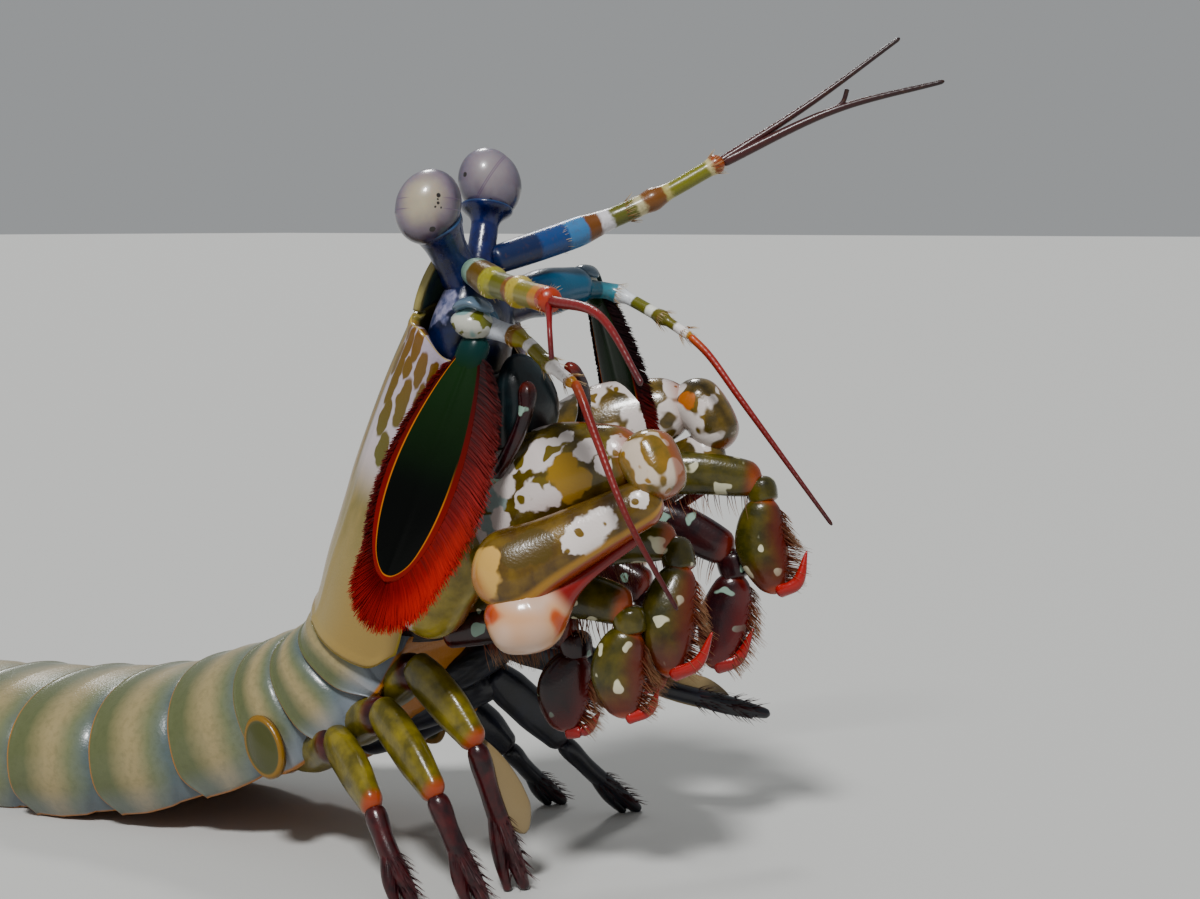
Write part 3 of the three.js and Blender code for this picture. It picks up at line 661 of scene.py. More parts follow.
def buildHead():
    t, a, shape = tubeGrid(34, 40, 0.002)
    wide, high, drop = readStops([(0, 4.9, 3.0, 4.4), (0.4, 5.0, 2.9, 4.4), (0.75, 3.8, 2.4, 3.4),
                                  (1, 2.0, 1.6, 1.6)], t)
    tip = np.sqrt(np.clip(1 - np.clip((t - 0.82) / 0.18, 0, 1) ** 2, 0, 1))
    right = np.sin(a) * (wide + 0.25 * np.cos(3 * a) * ease(t * 2)) * tip
    up = np.cos(a) * np.where(np.cos(a) > 0, high, drop) * tip
    addBodyTube("head", t, shape, onBody(131.5 + 10.9 * t, right, up),
                blueCuticle("blue head skin", "#0a1016", (0.2, 0.5)))
    stalks = {
        "right": ((15.9, -9.6, 59.6), (15.9, -11.9, 62.6)),
        "left": ((15.2, -6.6, 60.4), (14.5, -4.8, 64.2)),
    }
    for side, (root, neck) in stalks.items():
        eye = np.array(eyeCentres[side])
        toEye = unit(eye - np.array(neck))
        slim, cup = (1.0, 1.7) if side == "right" else (0.72, 2.3)
        path = [root, neck, eye - toEye * 3.4, eye - toEye * cup]
        stops = [(0, 2.1 * slim), (0.3, 1.9 * slim), (0.55, 1.9 * slim),
                 (0.8, 2.25 * slim, 2.3 * slim), (0.93, 2.55, 2.65), (1, 2.6, 2.7)]
        stalk = Limb(path, stops, up=(0.6, -0.6, 0.2), ends=(0.05, 0.02))
        # stalk skin: smooth saturated ultramarine, with a paler ring under the cornea
        material, tree = startMaterial(f"ultramarine {side} stalk")
        along = attribute(tree, "along")
        uneven = speckle(tree, 1.2, 3)
        blue = ramp(tree, uneven, [(0.3, "#01062e"), (0.75, "#061a58")])
        rim = product(tree, fade(tree, along, 0.94, 0.99), 0.6 if side == "right" else 0.3)
        cuticle(tree, blend(tree, rim, blue, "#3f6a98"), rough=0.25, coat=0.5)
        addPiece(f"eye_stalk_{side}", stalk.part(40, 32), material)


# Compound eyes: pearly lilac domes split by a fine midband, with the dark pupil spots and painted shade on
# each dome's rim
eyeLooks = {
    "right": {"pole": (0.5, -0.82, 0.22), "long": (0.25, 0.3, 0.9), "midband": (-0.06, 0.08, 0.99),
              "lines": (-0.4, 0.6),
              "pupils": [((1.17, 0.77), 0.1), ((0.57, -2.3), 0.14), ((1.15, 0.05), 0.07),
                         ((0.9, -0.3), 0.05),
                         ((1.4, -0.35), 0.05), ((1.1, 0.4), 0.05)]},
    "left": {"pole": (0.65, -0.68, 0.3), "long": (-0.1, -0.45, 0.9), "midband": (-0.72, -0.44, 0.53),
             "lines": (-0.05, 0.12),
             "pupils": [((-2.3, 0.65), 0.12), ((0.2, -1.85), 0.09)]},
}
viewAxes = {"u": (0.8, 0.6, 0.0), "v": (-0.0627, 0.0836, 0.9945), "w": (0.5967, -0.7956, 0.1045)}


eyeRadii = np.array([3.0, 3.1, 3.6])


def eyeTurn(side):
    return np.array(Vector((0, 0, 1)).rotation_difference(Vector(unit(eyeLooks[side]["long"]))).to_matrix())


# painted shade on the cornea: dark at the rim, lighter towards the middle that faces the camera
eyeShadeRamp = {  # from the rim to the middle of the dome
    "right": [(0.0, "#3a2c44"), (0.14, "#1e1428"), (0.36, "#3e2f48"), (0.58, "#756774"), (0.84, "#9c917f"),
              (1.0, "#aba086")],
    "left": [(0.0, "#3a2c44"), (0.14, "#221830"), (0.36, "#3a2e48"), (0.58, "#62586a"), (0.84, "#7f757c"),
             (1.0, "#8a8284")],
}


def eyeMaterial(side):
    # Cornea: a clear wet dome with painted shade over its rim and a pearly middle, with facets, fine lines
    # and pupil spots
    look = eyeLooks[side]
    material, tree = startMaterial(f"pearly {side} cornea")
    place = objectPlace(tree)
    local = vectors(tree, "SUBTRACT", place, tuple(toWorld(eyeCentres[side])))

    def reach(direction):
        return vectors(tree, "DOT_PRODUCT", local, tuple(unit(direction)))

    # the pole points towards the camera, so the ramp along it paints the shade on the dome's rim
    pole = sums(tree, "DIVIDE", reach(look["pole"]), 3.3 * mm)
    cloud = speckle(tree, 1.6, 3)
    pole = waver(tree, pole, cloud, 0.25)
    colour = ramp(tree, pole, eyeShadeRamp[side])
    band = reach(look["midband"])
    lineMask = None
    for offset in look["lines"]:
        gap = sums(tree, "ABSOLUTE", sums(tree, "SUBTRACT", band, offset * mm))
        line = inverse(tree, fade(tree, gap, 0.02 * mm, 0.06 * mm))
        lineMask = line if lineMask is None else sums(tree, "MAXIMUM", lineMask, line)
    if side == "right":  # its lines fade out in the middle of the dome
        away = sums(tree, "ABSOLUTE", reach(viewAxes["u"]))
        lineMask = product(tree, lineMask, fade(tree, away, 1.3 * mm, 2.2 * mm))
    lineMask = product(tree, lineMask, 0.8)
    colour = blend(tree, lineMask, colour, "#5a4262")
    spots = []
    for (right, up), radius in look["pupils"]:
        front = np.array(viewAxes["u"]) * right + np.array(viewAxes["v"]) * up
        reaches = front + np.array(viewAxes["w"]) * np.linspace(0.5, 4, 400)[:, None]
        depth = np.abs(np.linalg.norm(reaches @ eyeTurn(side) / eyeRadii, axis=1) - 1).argmin()
        spots.append((*(np.array(eyeCentres[side]) + reaches[depth]), radius * 2.2))
    colour = blend(tree, spotMask(tree, spots, 0.06, 0.3), colour, "#1c1512")
    facets = addNode(tree, "ShaderNodeTexVoronoi", {"Vector": place}, {"Scale": 1 / (0.12 * mm)},
                     feature="F1")
    bump = addNode(tree, "ShaderNodeBump", {"Height": facets.outputs["Distance"]},
                   {"Distance": 0.01 * mm, "Strength": 0.3})
    addSurface(tree, {"Base Color": colour, "Normal": bump.outputs[0]},
               {"Roughness": 0.32, "IOR": 1.48, "Coat Weight": 0.6, "Coat Roughness": 0.1,
                "Subsurface Weight": 0.15, "Subsurface Scale": 0.001})
    return material


def buildEyes():
    for side, look in eyeLooks.items():
        rows, cols = 48, 64
        lat, lon = np.meshgrid(np.linspace(0.02, np.pi - 0.02, rows), np.linspace(0, 2 * np.pi, cols,
            endpoint=False), indexing="ij")
        ball = np.stack([np.sin(lat) * np.cos(lon), np.sin(lat) * np.sin(lon), np.cos(lat)], -1) * eyeRadii
        points = ball @ eyeTurn(side).T
        band = points @ unit(look["midband"])
        points = points * (1 - 0.012 * np.exp(-(band / 0.5) ** 2))[..., None] + np.array(eyeCentres[side])
        fixNormals(addPiece(f"eye_{side}", gridPart(points, closed=True, poles=True, along=lat / np.pi),
                            eyeMaterial(side)))
    print("head and eyes made")


buildRings()
buildCarapace()
buildRostrum()
buildHead()
buildEyes()


# Feelers: jointed, banded stalks that end in ringed whips
def bandMaterial(name, bands, rough=0.35, rings=0.0):
    # Feeler shell: painted bands under a thin gloss; on the whips fine rings catch the light
    material, tree = startMaterial(name)
    along = attribute(tree, "along")
    uneven = speckle(tree, 0.9, 3)
    moved = waver(tree, along, uneven, 0.035)
    colour = ramp(tree, moved, bands)
    dirt = fade(tree, speckle(tree, 0.45, 3), 0.5, 0.75)
    colour = blend(tree, product(tree, dirt, 0.25), colour, "#5a3a10")
    height = None
    if rings:
        turns = sums(tree, "SINE", product(tree, attribute(tree, "run"), 2 * math.pi / rings))
        height = product(tree, turns, 0.05)
    cuticle(tree, colour, rough=rough, coat=0.35, height=height)
    return material


def hardBands(stops):  # (start, colour) pairs, each with a short blend into the next
    bands, blendWidth = [(0.0, stops[0][1])], 0.006
    for (_, before), (start, colour) in zip(stops, stops[1:]):
        bands += [(start - blendWidth, before), (start + blendWidth, colour)]
    return bands + [(1.0, stops[-1][1])]


antennules = {
    "right": {
        "stalk": [(17.9, -10.4, 60.4), (20.0, -12.2, 60.3), (23.1, -14, 59.6), (28, -16.7, 59),
                  (36.6, -22.2, 58.4)],
        "stops": [(0, 1.3), (0.2, 1.5), (0.3, 1.55), (0.33, 1.25), (0.55, 1.35), (0.6, 1.5),
                  (0.64, 1.2), (0.85, 1.15), (0.97, 1.1), (1, 0.9)],
        "bands": [(0, "#7fa08c"), (0.16, "#5c4406"), (0.3, "#8f8a1c"), (0.38, "#5c5c04"), (0.52, "#7c4204"),
                  (0.6, "#a8942c"), (0.66, "#7c7202"), (0.84, "#b47404"), (0.93, "#9c2a04")],
        "whips": [
            ([(36.4, -22.1, 58.4), (43.9, -25.2, 57.4), (49.6, -27.2, 52.2)], 0.52),
            ([(36.2, -22.2, 58.2), (38.0, -24.4, 56.2), (38.6, -24.9, 53.6)], 0.34),
            ([(35.9, -21.4, 58.3), (43.2, -24.3, 57.2), (48.9, -26.3, 52.0)], 0.28),
        ],
    },
    "left": {
        "stalk": [(15.6, -5.4, 61.2), (19.1, 5, 64.3), (23.9, 10.2, 67.3), (28.8, 15.7, 71.3)],
        "stops": [(0, 1.4), (0.2, 1.5), (0.42, 1.45), (0.46, 1.3), (0.5, 1.15), (0.66, 1.05),
                  (0.7, 1.2), (0.74, 0.95), (0.93, 0.85), (0.97, 1.0), (1, 0.8)],
        "bands": [(0, "#041a44"), (0.2, "#0a3870"), (0.33, "#2f6a9c"), (0.42, "#663804"), (0.48, "#c8c4c8"),
                  (0.53, "#525404"), (0.63, "#b4ab80"), (0.66, "#6c3e04"), (0.74, "#a89e58"),
                  (0.77, "#6a6a04"), (0.93, "#c0b47c"), (0.95, "#8a3c04")],
        "whips": [
            ([(28.4, 15.3, 71.0), (34.9, 22.2, 77), (41.2, 29.2, 83.7)], 0.48),
            ([(28.6, 15.6, 71.0), (37.4, 22.8, 76.3), (46.1, 29.7, 79.2)], 0.55),
            ([(37, 22.5, 76.1), (38, 23.3, 77), (38.4, 23.6, 78.4)], 0.34),
        ],
    },
}
antennae = {
    "right": {
        "stalk": [(18.6, -10.6, 55.6), (20.6, -11.2, 55.2), (25, -12, 54.3), (28.8, -13.1, 52.4),
                  (32.9, -14.1, 50.5)],
        "bands": [(0, "#8f9cb4"), (0.14, "#cfd2dc"), (0.34, "#7a5204"), (0.4, "#8a7c10"), (0.5, "#dcd8d8"),
                  (0.56, "#6f6606"), (0.76, "#e2dcda"), (0.94, "#b4780c")],
        "whip": [(32.5, -13.9, 50.9), (33.6, -14.3, 49.6), (35.9, -15, 45.9), (39.7, -15.5, 39.1),
                 (43.7, -13.6, 31.2)], "whipThick": 0.46,
    },
    "left": {
        "stalk": [(17.2, 5.8, 58.4), (18.8, 10.3, 58), (23.6, 11.1, 55.9), (27.9, 11.5, 53.6)],
        "bands": [(0, "#10485a"), (0.22, "#2c7484"), (0.36, "#d4d8dc"), (0.5, "#5c5c08"), (0.62, "#dcdcd0"),
                  (0.68, "#5c5606"), (0.86, "#e6e0dc"), (0.97, "#a87a20")],
        "whip": [(27.6, 11.4, 53.8), (29.6, 11.8, 52.0), (33.2, 12.2, 47.7), (37.7, 13.5, 41.7),
                 (42.4, 14.9, 35.4)], "whipThick": 0.42,
    },
}


def whipPart(path, thick, tip=0.24):
    stops = [(0, thick), (0.5, thick * 0.72), (1, tip)]
    return Limb(path, stops, up=(0.3, 0.2, 0.9), ends=(0.02, 0.02)).part(60, 10)


antennaStops = [(0.3, 1.35), (0.37, 1.5), (0.42, 1.15), (0.68, 1.0), (0.74, 1.25), (0.79, 0.85),
                (0.95, 0.8),
                (1, 0.65)]


def buildFeelers():
    whipBands = [(0, "#6e040a"), (0.5, "#7a080c"), (1, "#44040a")]
    redWhip = bandMaterial("crimson whip", whipBands, 0.4, rings=0.7)
    darkWhip = bandMaterial("dark red whip", [(0, "#3c0708"), (1, "#1e0406")], 0.4, rings=0.7)
    for side, feeler in antennules.items():
        stalk = Limb(feeler["stalk"], feeler["stops"], ends=(0.03, 0.03)).part(110, 24)
        banded = bandMaterial(f"banded antennule {side}", hardBands(feeler["bands"]))
        addPiece(f"antennule_{side}", stalk, banded)
        whips = [whipPart(path, thick) for path, thick in feeler["whips"]]
        addPiece(f"antennule_{side}_whips", whips, redWhip if side == "right" else darkWhip,
                 slot="club_red")
    for side, feeler in antennae.items():
        thick = 0.7 if side == "right" else 0.64
        stops = [(0, 1.3)] + [(t, share * thick) for t, share in antennaStops]
        stalk = Limb(feeler["stalk"], stops, ends=(0.03, 0.05)).part(90, 24)
        banded = bandMaterial(f"banded antenna {side}", hardBands(feeler["bands"]))
        addPiece(f"antenna_{side}", stalk, banded)
        whip = whipPart(feeler["whip"], feeler["whipThick"], tip=0.2)
        red = bandMaterial(f"red whip {side}", [(0, "#b0480a"), (0.12, "#8c1206"), (0.5, "#6a0a08"),
                                                (1, "#34050a")], 0.38, rings=0.6)
        addPiece(f"antenna_{side}_whip", whip, red, slot="club_red")
    print("feelers made")


ballStops = [(0, 1.9, 1.7), (0.5, 2.1, 1.9), (1, 1.9, 1.7)]
rootStops = [(0, 1.25, 1.3), (0.4, 1, 1.05), (0.55, 1.12, 1.15), (0.8, 0.95, 1), (1, 0.9, 0.9)]
hoodPath = ((-1.9, -0.6, 1.0), (0, 0, 1.75), (1.9, 0.6, 0.9))
feelerRoots = {
    "right": ([(17.6, -8.6, 56.4), (19.2, -10.8, 55.5), (20.4, -11.6, 55.2)], 1.5),
    "left": ([(15.6, -6.0, 56.8), (16.4, 0.6, 57.9), (16.9, 5.6, 58.5), (17.0, 8.4, 58.7)], 2.1),
}


def buildBases():
    # The ball and hood at the root of each antenna: pale olive-flecked shell, blue-grey and glossy on top
    material, tree = startMaterial("mottled feeler base")
    spots = fade(tree, speckle(tree, 1.4, 1.5), 0.52, 0.57)
    ball = blend(tree, spots, "#b4b4a8", "#5c5e14")
    low = fade(tree, speckle(tree, 2.2, 1), 0.5, 0.6)
    ball = blend(tree, product(tree, low, 0.7), ball, "#4a8a8c")
    hood = fade(tree, attribute(tree, "seg"), 0.4, 0.6)
    cuticle(tree, blend(tree, hood, ball, "#566a7c"), rough=0.22, coat=0.7)
    for side, centre, out, size in (("right", (19.6, -12.6, 55.9), (0.5, -0.8, 0.2), 1.0),
                                    ("left", (16.6, 8.6, 58.9), (0.3, 0.9, 0.2), 0.75)):
        middle, out = np.array(centre), unit(out)
        stops = [(t, wide * size, high * size) for t, wide, high in ballStops]
        ball = Limb([middle - (0.4, 0, 1.7), middle, middle + (0.2, 0, 1.3)], stops, up=out,
                    ends=(0.5, 0.5)).part(26, 26, 0)
        hood = Limb([middle + size * np.array(p) for p in hoodPath],
                    [(0, 1.3 * size, 0.5), (0.5, 1.9 * size, 0.6), (1, 1.3 * size, 0.5)], up=(0, 0, 1),
                    ends=(0.3, 0.3)).part(26, 22, 1)
        addPiece(f"antenna_base_{side}", [ball, hood], material, slot="feeler_white")
    blue = blueCuticle("blue feeler root skin", "#0c4c6a", (0.75, 0.2))
    for side, (path, thick) in feelerRoots.items():
        stops = [(t, wide * thick, high * thick) for t, wide, high in rootStops]
        root = Limb(path, stops, ends=(0.1, 0.15))
        addPiece(f"antenna_root_{side}", root.part(50, 28), blue, slot="blue_shell")


buildFeelers()
buildBases()


# Bristles: one tree of nodes plants a bent, tapering spine on each root point
spineShape = {"Vertices": 3, "Side Segments": 2, "Radius Top": 0.15, "Radius Bottom": 1.0, "Depth": 1.0}
bristlePatch = 0.0015  # width of one bristle on OFBake


def bristleTree():
    tree = bpy.data.node_groups.new("bristles", "GeometryNodeTree")
    for name, kind, flow in (("Roots", "NodeSocketGeometry", "INPUT"), ("Thickness", "NodeSocketFloat",
        "INPUT"),
                             ("Bend", "NodeSocketFloat", "INPUT"), ("Finish", "NodeSocketMaterial",
                                 "INPUT"),
                             ("Bristles", "NodeSocketGeometry", "OUTPUT")):
        tree.interface.new_socket(name=name, in_out=flow, socket_type=kind)
    start = tree.nodes.new("NodeGroupInput").outputs

    def named(name, kind):
        return addNode(tree, "GeometryNodeInputNamedAttribute", values={"Name": name},
                       data_type=kind).outputs[0]

    def store(geometry, value, label, kind="FLOAT", domain="POINT"):
        return addNode(tree, "GeometryNodeStoreNamedAttribute", {"Geometry": geometry, "Value": value},
                       {"Name": label}, data_type=kind, domain=domain).outputs[0]

    spine = addNode(tree, "GeometryNodeMeshCone", values=spineShape)
    position = addNode(tree, "GeometryNodeInputPosition").outputs[0]
    parts = addNode(tree, "ShaderNodeSeparateXYZ", {0: position}).outputs
    marked = store(store(spine.outputs[0], parts[2], "tip"), parts[0], "across")
    points = addNode(tree, "GeometryNodeMeshToPoints", {"Mesh": start["Roots"]}).outputs[0]
    lie, curl = named("lie", "FLOAT_VECTOR"), named("curl", "FLOAT_VECTOR")
    aimed = addNode(tree, "FunctionNodeAlignRotationToVector", {"Vector": lie}, axis="Z").outputs[0]
    turned = addNode(tree, "FunctionNodeAlignRotationToVector", {"Rotation": aimed, "Vector": curl},
                     axis="X", pivot_axis="Z").outputs[0]
    thickness = start["Thickness"]
    size = addNode(tree, "ShaderNodeCombineXYZ", {0: thickness, 1: thickness,
                                                  2: vectors(tree, "LENGTH", lie)}).outputs[0]
    links = {"Points": points, "Instance": marked, "Rotation": turned, "Scale": size}
    planted = addNode(tree, "GeometryNodeInstanceOnPoints", links).outputs[0]
    real = addNode(tree, "GeometryNodeRealizeInstances", {"Geometry": planted}).outputs[0]
    tip = named("tip", "FLOAT")
    push = vectors(tree, "SCALE", curl, scale=product(tree, product(tree, tip, tip), start["Bend"]))
    bent = addNode(tree, "GeometryNodeSetPosition", {"Geometry": real, "Offset": push}).outputs[0]
    patch = addNode(tree, "ShaderNodeCombineXYZ", {0: named("across", "FLOAT"), 1: tip}).outputs[0]
    patch = vectors(tree, "ADD", vectors(tree, "SCALE", patch, scale=bristlePatch),
                    named("rootUv", "FLOAT_VECTOR"))
    mapped = store(bent, patch, "OFBake", "FLOAT2", "CORNER")
    done = addNode(tree, "GeometryNodeSetMaterial",
                   {"Geometry": mapped, "Material": start["Finish"]}).outputs[0]
    addNode(tree, "NodeGroupOutput", {"Bristles": done})
    return tree


bristleNodes = bristleTree()


def addBristles(name, rows, material, thickMm, bendMm, seed, dark=0.0):
    # each row is (roots, lie, curl, places): the first two in mm, and where each bristle's patch sits on
    # OFBake, worked out from where its root sits on the part
    roots, lie, curl, rootUv = (np.vstack(values) for values in zip(*rows))
    chance = np.random.default_rng(seed)
    lie = lie * chance.uniform(0.82, 1.08, (len(lie), 1))
    mesh = bpy.data.meshes.new(name + "_roots")
    mesh.from_pydata(toWorld(roots).tolist(), [], [])
    rootUv = np.column_stack([rootUv, np.zeros(len(rootUv))])
    for key, values in (("lie", lie * mm), ("curl", unit(curl)), ("rootUv", rootUv)):
        attributes = mesh.attributes.new(key, "FLOAT_VECTOR", "POINT").data
        attributes.foreach_set("vector", np.asarray(values, np.float32).ravel())
    strand = chance.uniform(0, 1, len(roots))
    for key, values in (("strand", strand), ("dark", np.broadcast_to(dark, len(roots)))):
        mesh.attributes.new(key, "FLOAT", "POINT").data.foreach_set("value", values.astype(np.float32))
    planted = bpy.data.objects.new(name + "_roots", mesh)
    bpy.context.scene.collection.objects.link(planted)
    modifier = planted.modifiers.new("bristles", "NODES")
    modifier.node_group = bristleNodes
    values = {"Thickness": thickMm * mm, "Bend": bendMm * mm, "Finish": material}
    for item in bristleNodes.interface.items_tree:
        if item.in_out == "INPUT" and item.name in values:
            modifier[item.identifier] = values[item.name]
    graph = bpy.context.evaluated_depsgraph_get()
    plain = bpy.data.meshes.new_from_object(planted.evaluated_get(graph))
    planted.modifiers.clear()
    bpy.data.objects.remove(planted)
    plain.name = name
    obj = bpy.data.objects.new(name, plain)
    bpy.context.scene.collection.objects.link(obj)
    if not plain.materials:
        plain.materials.append(material)
    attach(obj, "root")
    return obj


def rowOfBristles(limb, low, high, angle, spread, count, length, back=0.3, seed=3):
    chance = np.random.default_rng(seed)
    t = chance.uniform(low, high, count)
    a = angle + chance.normal(0, spread, count)
    roots, out, ahead = limb.surface(t, a, -0.1)
    lie = unit(out + ahead * back + chance.normal(0, 0.12, (count, 3))) * length
    return roots, lie, ahead, np.column_stack([t * 0.8 + 0.1, 0.5 + 0.1 * np.sin(a)])


bristleShade = "#140204"  # where a tuft lies in its own shadow


def bristleMaterial(name, root, tip, gloss=0.4):
    # Seta: a dry spine, darker at its root, with hardly any shine, so that a tuft reads soft; the dark
    # value paints shade where a tuft lies in its own shadow
    material, tree = startMaterial(name)
    colour = blend(tree, fade(tree, attribute(tree, "tip"), 0.1, 0.95), root, tip)
    colour = blend(tree, product(tree, attribute(tree, "strand"), 0.35), colour, tip)
    colour = blend(tree, attribute(tree, "dark"), colour, bristleShade)
    addSurface(tree, {"Base Color": colour}, {"Roughness": gloss, "IOR": 1.5, "Specular IOR Level": 0.12})
    return material


# Antennal scales: a dark blade with a yellow rim, a red band and a deep fringe of bristles
scaleSize = {"halfWidth": 3.5, "thick": 0.8, "fringeBristles": 5600}
# dark lays painted shade over a scale's whole fringe
scales = {
    "right": {"root": (20.0, -12.6, 54.2), "tip": (14.9, -19.9, 31.7), "facing": (0.45, -0.85, 0.3),
              "inner": -1, "fringe": 1.0, "dark": 0.0},
    "left": {"root": (15.9, 10.4, 60.2), "tip": (20.0, 13.8, 36.0), "facing": (0.3, 0.9, 0.2), "inner": 1,
             "fringe": 0.4, "dark": 0.45},
}


def scaleFrame(look):
    root, tip = np.array(look["root"], float), np.array(look["tip"], float)
    ahead = unit(tip - root)
    facing = np.array(look["facing"], float)
    facing = unit(facing - ahead * (facing @ ahead))
    return root, ahead, facing, np.cross(ahead, facing), np.linalg.norm(tip - root)


def scaleOutline(turn, length, halfWidth):
    # the blade's edge, as distance along it and across it
    along = 0.5 - 0.5 * np.cos(turn)
    lean = along ** 1.3
    across = np.sign(np.sin(turn)) * halfWidth * np.abs(np.sin(np.pi * lean)) ** 0.5
    return along * length, across


def scaleMaterial(side):
    # Scale blade: bottle-green shell going to black, dull as wet leather, with thin yellow and red hems
    material, tree = startMaterial(f"dark green scale blade {side}")
    edge, along, leading = attribute(tree, "edge"), attribute(tree, "along"), attribute(tree, "leading")
    dark = ramp(tree, along, [(0.0, "#0f3436"), (0.05, "#0c2c2c"), (0.1, "#0c260a"), (0.35, "#081a04"),
                              (0.62, "#010301"), (1.0, "#010201")])
    # painted sheen: a faint green mottle over the dark blade
    sheen = speckle(tree, 2.5, 2)
    dark = blend(tree, product(tree, sheen, 0.2), dark, "#0f2a10")
    dark = blend(tree, fade(tree, along, 0.45, 0.7), dark, "#020302")
    outer = fade(tree, leading, -0.05, 0.05) if side == "right" else fade(tree, leading, 0.05, -0.05)
    outer = sums(tree, "MAXIMUM", outer, fade(tree, along, 0.45, 0.7))
    yellow = product(tree, fade(tree, edge, 0.8, 0.815), product(tree, fade(tree, along, 0.04, 0.12),
        outer))
    colour = blend(tree, yellow, dark, "#b4660a")
    red = product(tree, fade(tree, edge, 0.835, 0.85), fade(tree, along, 0.02, 0.1))
    colour = blend(tree, red, colour, ramp(tree, along, [(0.1, "#2c0404"), (0.9, "#780a04")]))
    cuticle(tree, colour, rough=0.26, coat=0.05, pitMm=0.35, depth=0.012, shine=0.1)
    return material


def buildScales():
    fringeRed = bristleMaterial("scarlet fringe bristle", "#600304", "#a81408", 0.5)
    for side, look in scales.items():
        root, ahead, facing, across, length = scaleFrame(look)
        rows, cols = 60, 41
        turn = np.linspace(0.02, np.pi - 0.02, rows)
        reach, halfWidth = scaleOutline(turn, length, scaleSize["halfWidth"])
        k = np.linspace(-1, 1, cols)
        kk, rr = np.meshgrid(np.sin(k * np.pi / 2), reach / length, indexing="xy")
        ww = np.broadcast_to(halfWidth[:, None], kk.shape)
        edge = np.sqrt(np.clip(kk**2, 0, 1))
        near = np.minimum(rr, 1 - rr) * length / scaleSize["halfWidth"]
        edgeAll = (edge**3 + np.clip(1 - near, 0, 1) ** 3) ** (1 / 3)
        crown = 0.9 * (1 - kk**2) + 0.25 * np.exp(-((kk + 0.05) / 0.1) ** 2)
        arch = 0.8 * np.sin(np.pi * rr)
        front = root + each(ahead, rr * length) + each(across, kk * ww)
        front = front + each(facing, 0.12 + 0.3 * crown + arch)
        rear = front - each(facing, 0.12 + scaleSize["thick"] * (0.3 + 0.7 * (1 - edge**4)))
        ring = np.concatenate([front, rear[:, ::-1]], axis=1)
        values = {"edge": edgeAll, "along": rr, "leading": kk}
        both = {key: np.concatenate([v, v[:, ::-1]], axis=1) for key, v in values.items()}
        blade = gridPart(ring, closed=True, poles=True, **both)
        stem = Limb([root - ahead * 0.6 - facing * 0.6, root + ahead * 1.0 - facing * 0.3,
                     root + ahead * 4.0], [(0, 1.3, 1.0), (0.4, 1.5, 1.1), (1, 1.3, 0.6)],
                    up=facing, ends=(0.25, 0.2)).part(24, 24)
        stem["data"]["edge"] = np.zeros(len(stem["verts"]))
        stem["data"]["along"] = stem["data"]["along"] * 0.12
        fixNormals(addPiece(f"antennal_scale_{side}", [blade, stem], scaleMaterial(side)))
        addFringe(side, look, fringeRed)
    print("scales made")


def addFringe(side, look, material):
    root, ahead, facing, across, length = scaleFrame(look)
    count = scaleSize["fringeBristles"]
    chance = np.random.default_rng(7)
    inner = look["inner"]
    turn = np.linspace(0.5, 2 * np.pi - 0.7, count)
    reach, wide = scaleOutline(turn, length, scaleSize["halfWidth"] * 0.97)
    rise = 0.1 + 0.8 * np.sin(np.pi * reach / length) - 0.35 + chance.uniform(-0.25, 0.25, count)
    base = root + each(ahead, reach) + each(across, inner * wide) + each(facing, rise)
    out = np.gradient(np.stack([reach, wide], 1), axis=0)
    normal = unit(np.stack([-out[:, 1], out[:, 0]], 1))
    normal *= np.sign(np.sum(normal * np.stack([reach - length / 2, wide * 3], 1), 1, keepdims=True))
    lean = unit(np.stack([normal[:, 0] + 0.55, normal[:, 1]], 1))
    size = np.interp(turn, [0.5, 0.9, 1.6, 2.3, 2.8, 3.1, 3.4, 3.9, 5.6], [1.2, 2.8, 3.6, 3.6, 4.2, 4.5,
        3.2, 0.8, 0.35]) * look["fringe"]
    # painted shade over the fringe: darker towards both ends of the blade, where the tuft lies in its own
    # shadow
    dark = np.interp(turn, [0.5, 1.0, 1.6, 2.2, 3.0, 3.4, 4.0, 5.6], [1.0, 0.85, 0.5, 0.05, 0.0, 0.3, 0.8,
        0.8])
    dark = np.clip(dark + look["dark"] + chance.uniform(-0.1, 0.1, count), 0, 1)
    lie = each(ahead, lean[:, 0] * size) + each(across, inner * lean[:, 1] * size)
    lie += each(facing, chance.uniform(-0.25, 0.25, count)) + each(across, chance.uniform(-0.3, 0.3, count))
    curl = np.broadcast_to(facing, lie.shape) + ahead * 0.6
    places = np.column_stack([0.1 + 0.8 * reach / length, 0.5 + 0.1 * wide])
    addBristles(f"scale_fringe_{side}", [(base, lie, curl, places)], material, 0.13, 0.5, 11,
                dark)


buildScales()


def addJointSetae():
    # short fans of setae at the joints of the antennules and antennae
    setae = bristleMaterial("pale joint seta", "#8a5a2c", "#c8b088", 0.4)
    for side in ("right", "left"):
        for name, feeler, thick, places in (("antennule", antennules[side], 1.5, (0.3, 0.6, 0.96)),
                                            ("antenna", antennae[side], 1.2, (0.36, 0.74, 0.95))):
            limb = Limb(feeler["stalk"], [(0, thick, thick), (1, thick * 0.75, thick * 0.75)],
                        ends=(0.03, 0.03))
            rows = [rowOfBristles(limb, place - 0.01, place + 0.01, 0, 2.5, 26, 1.2, 1.6, 31 + number)
                    for number, place in enumerate(places)]
            rows = [(roots - unit(lie) * 0.35, lie, curl, uv) for roots, lie, curl, uv in rows]
            addBristles(f"{name}_setae_{side}", rows, setae, 0.045, 0.15, 33)


addJointSetae()

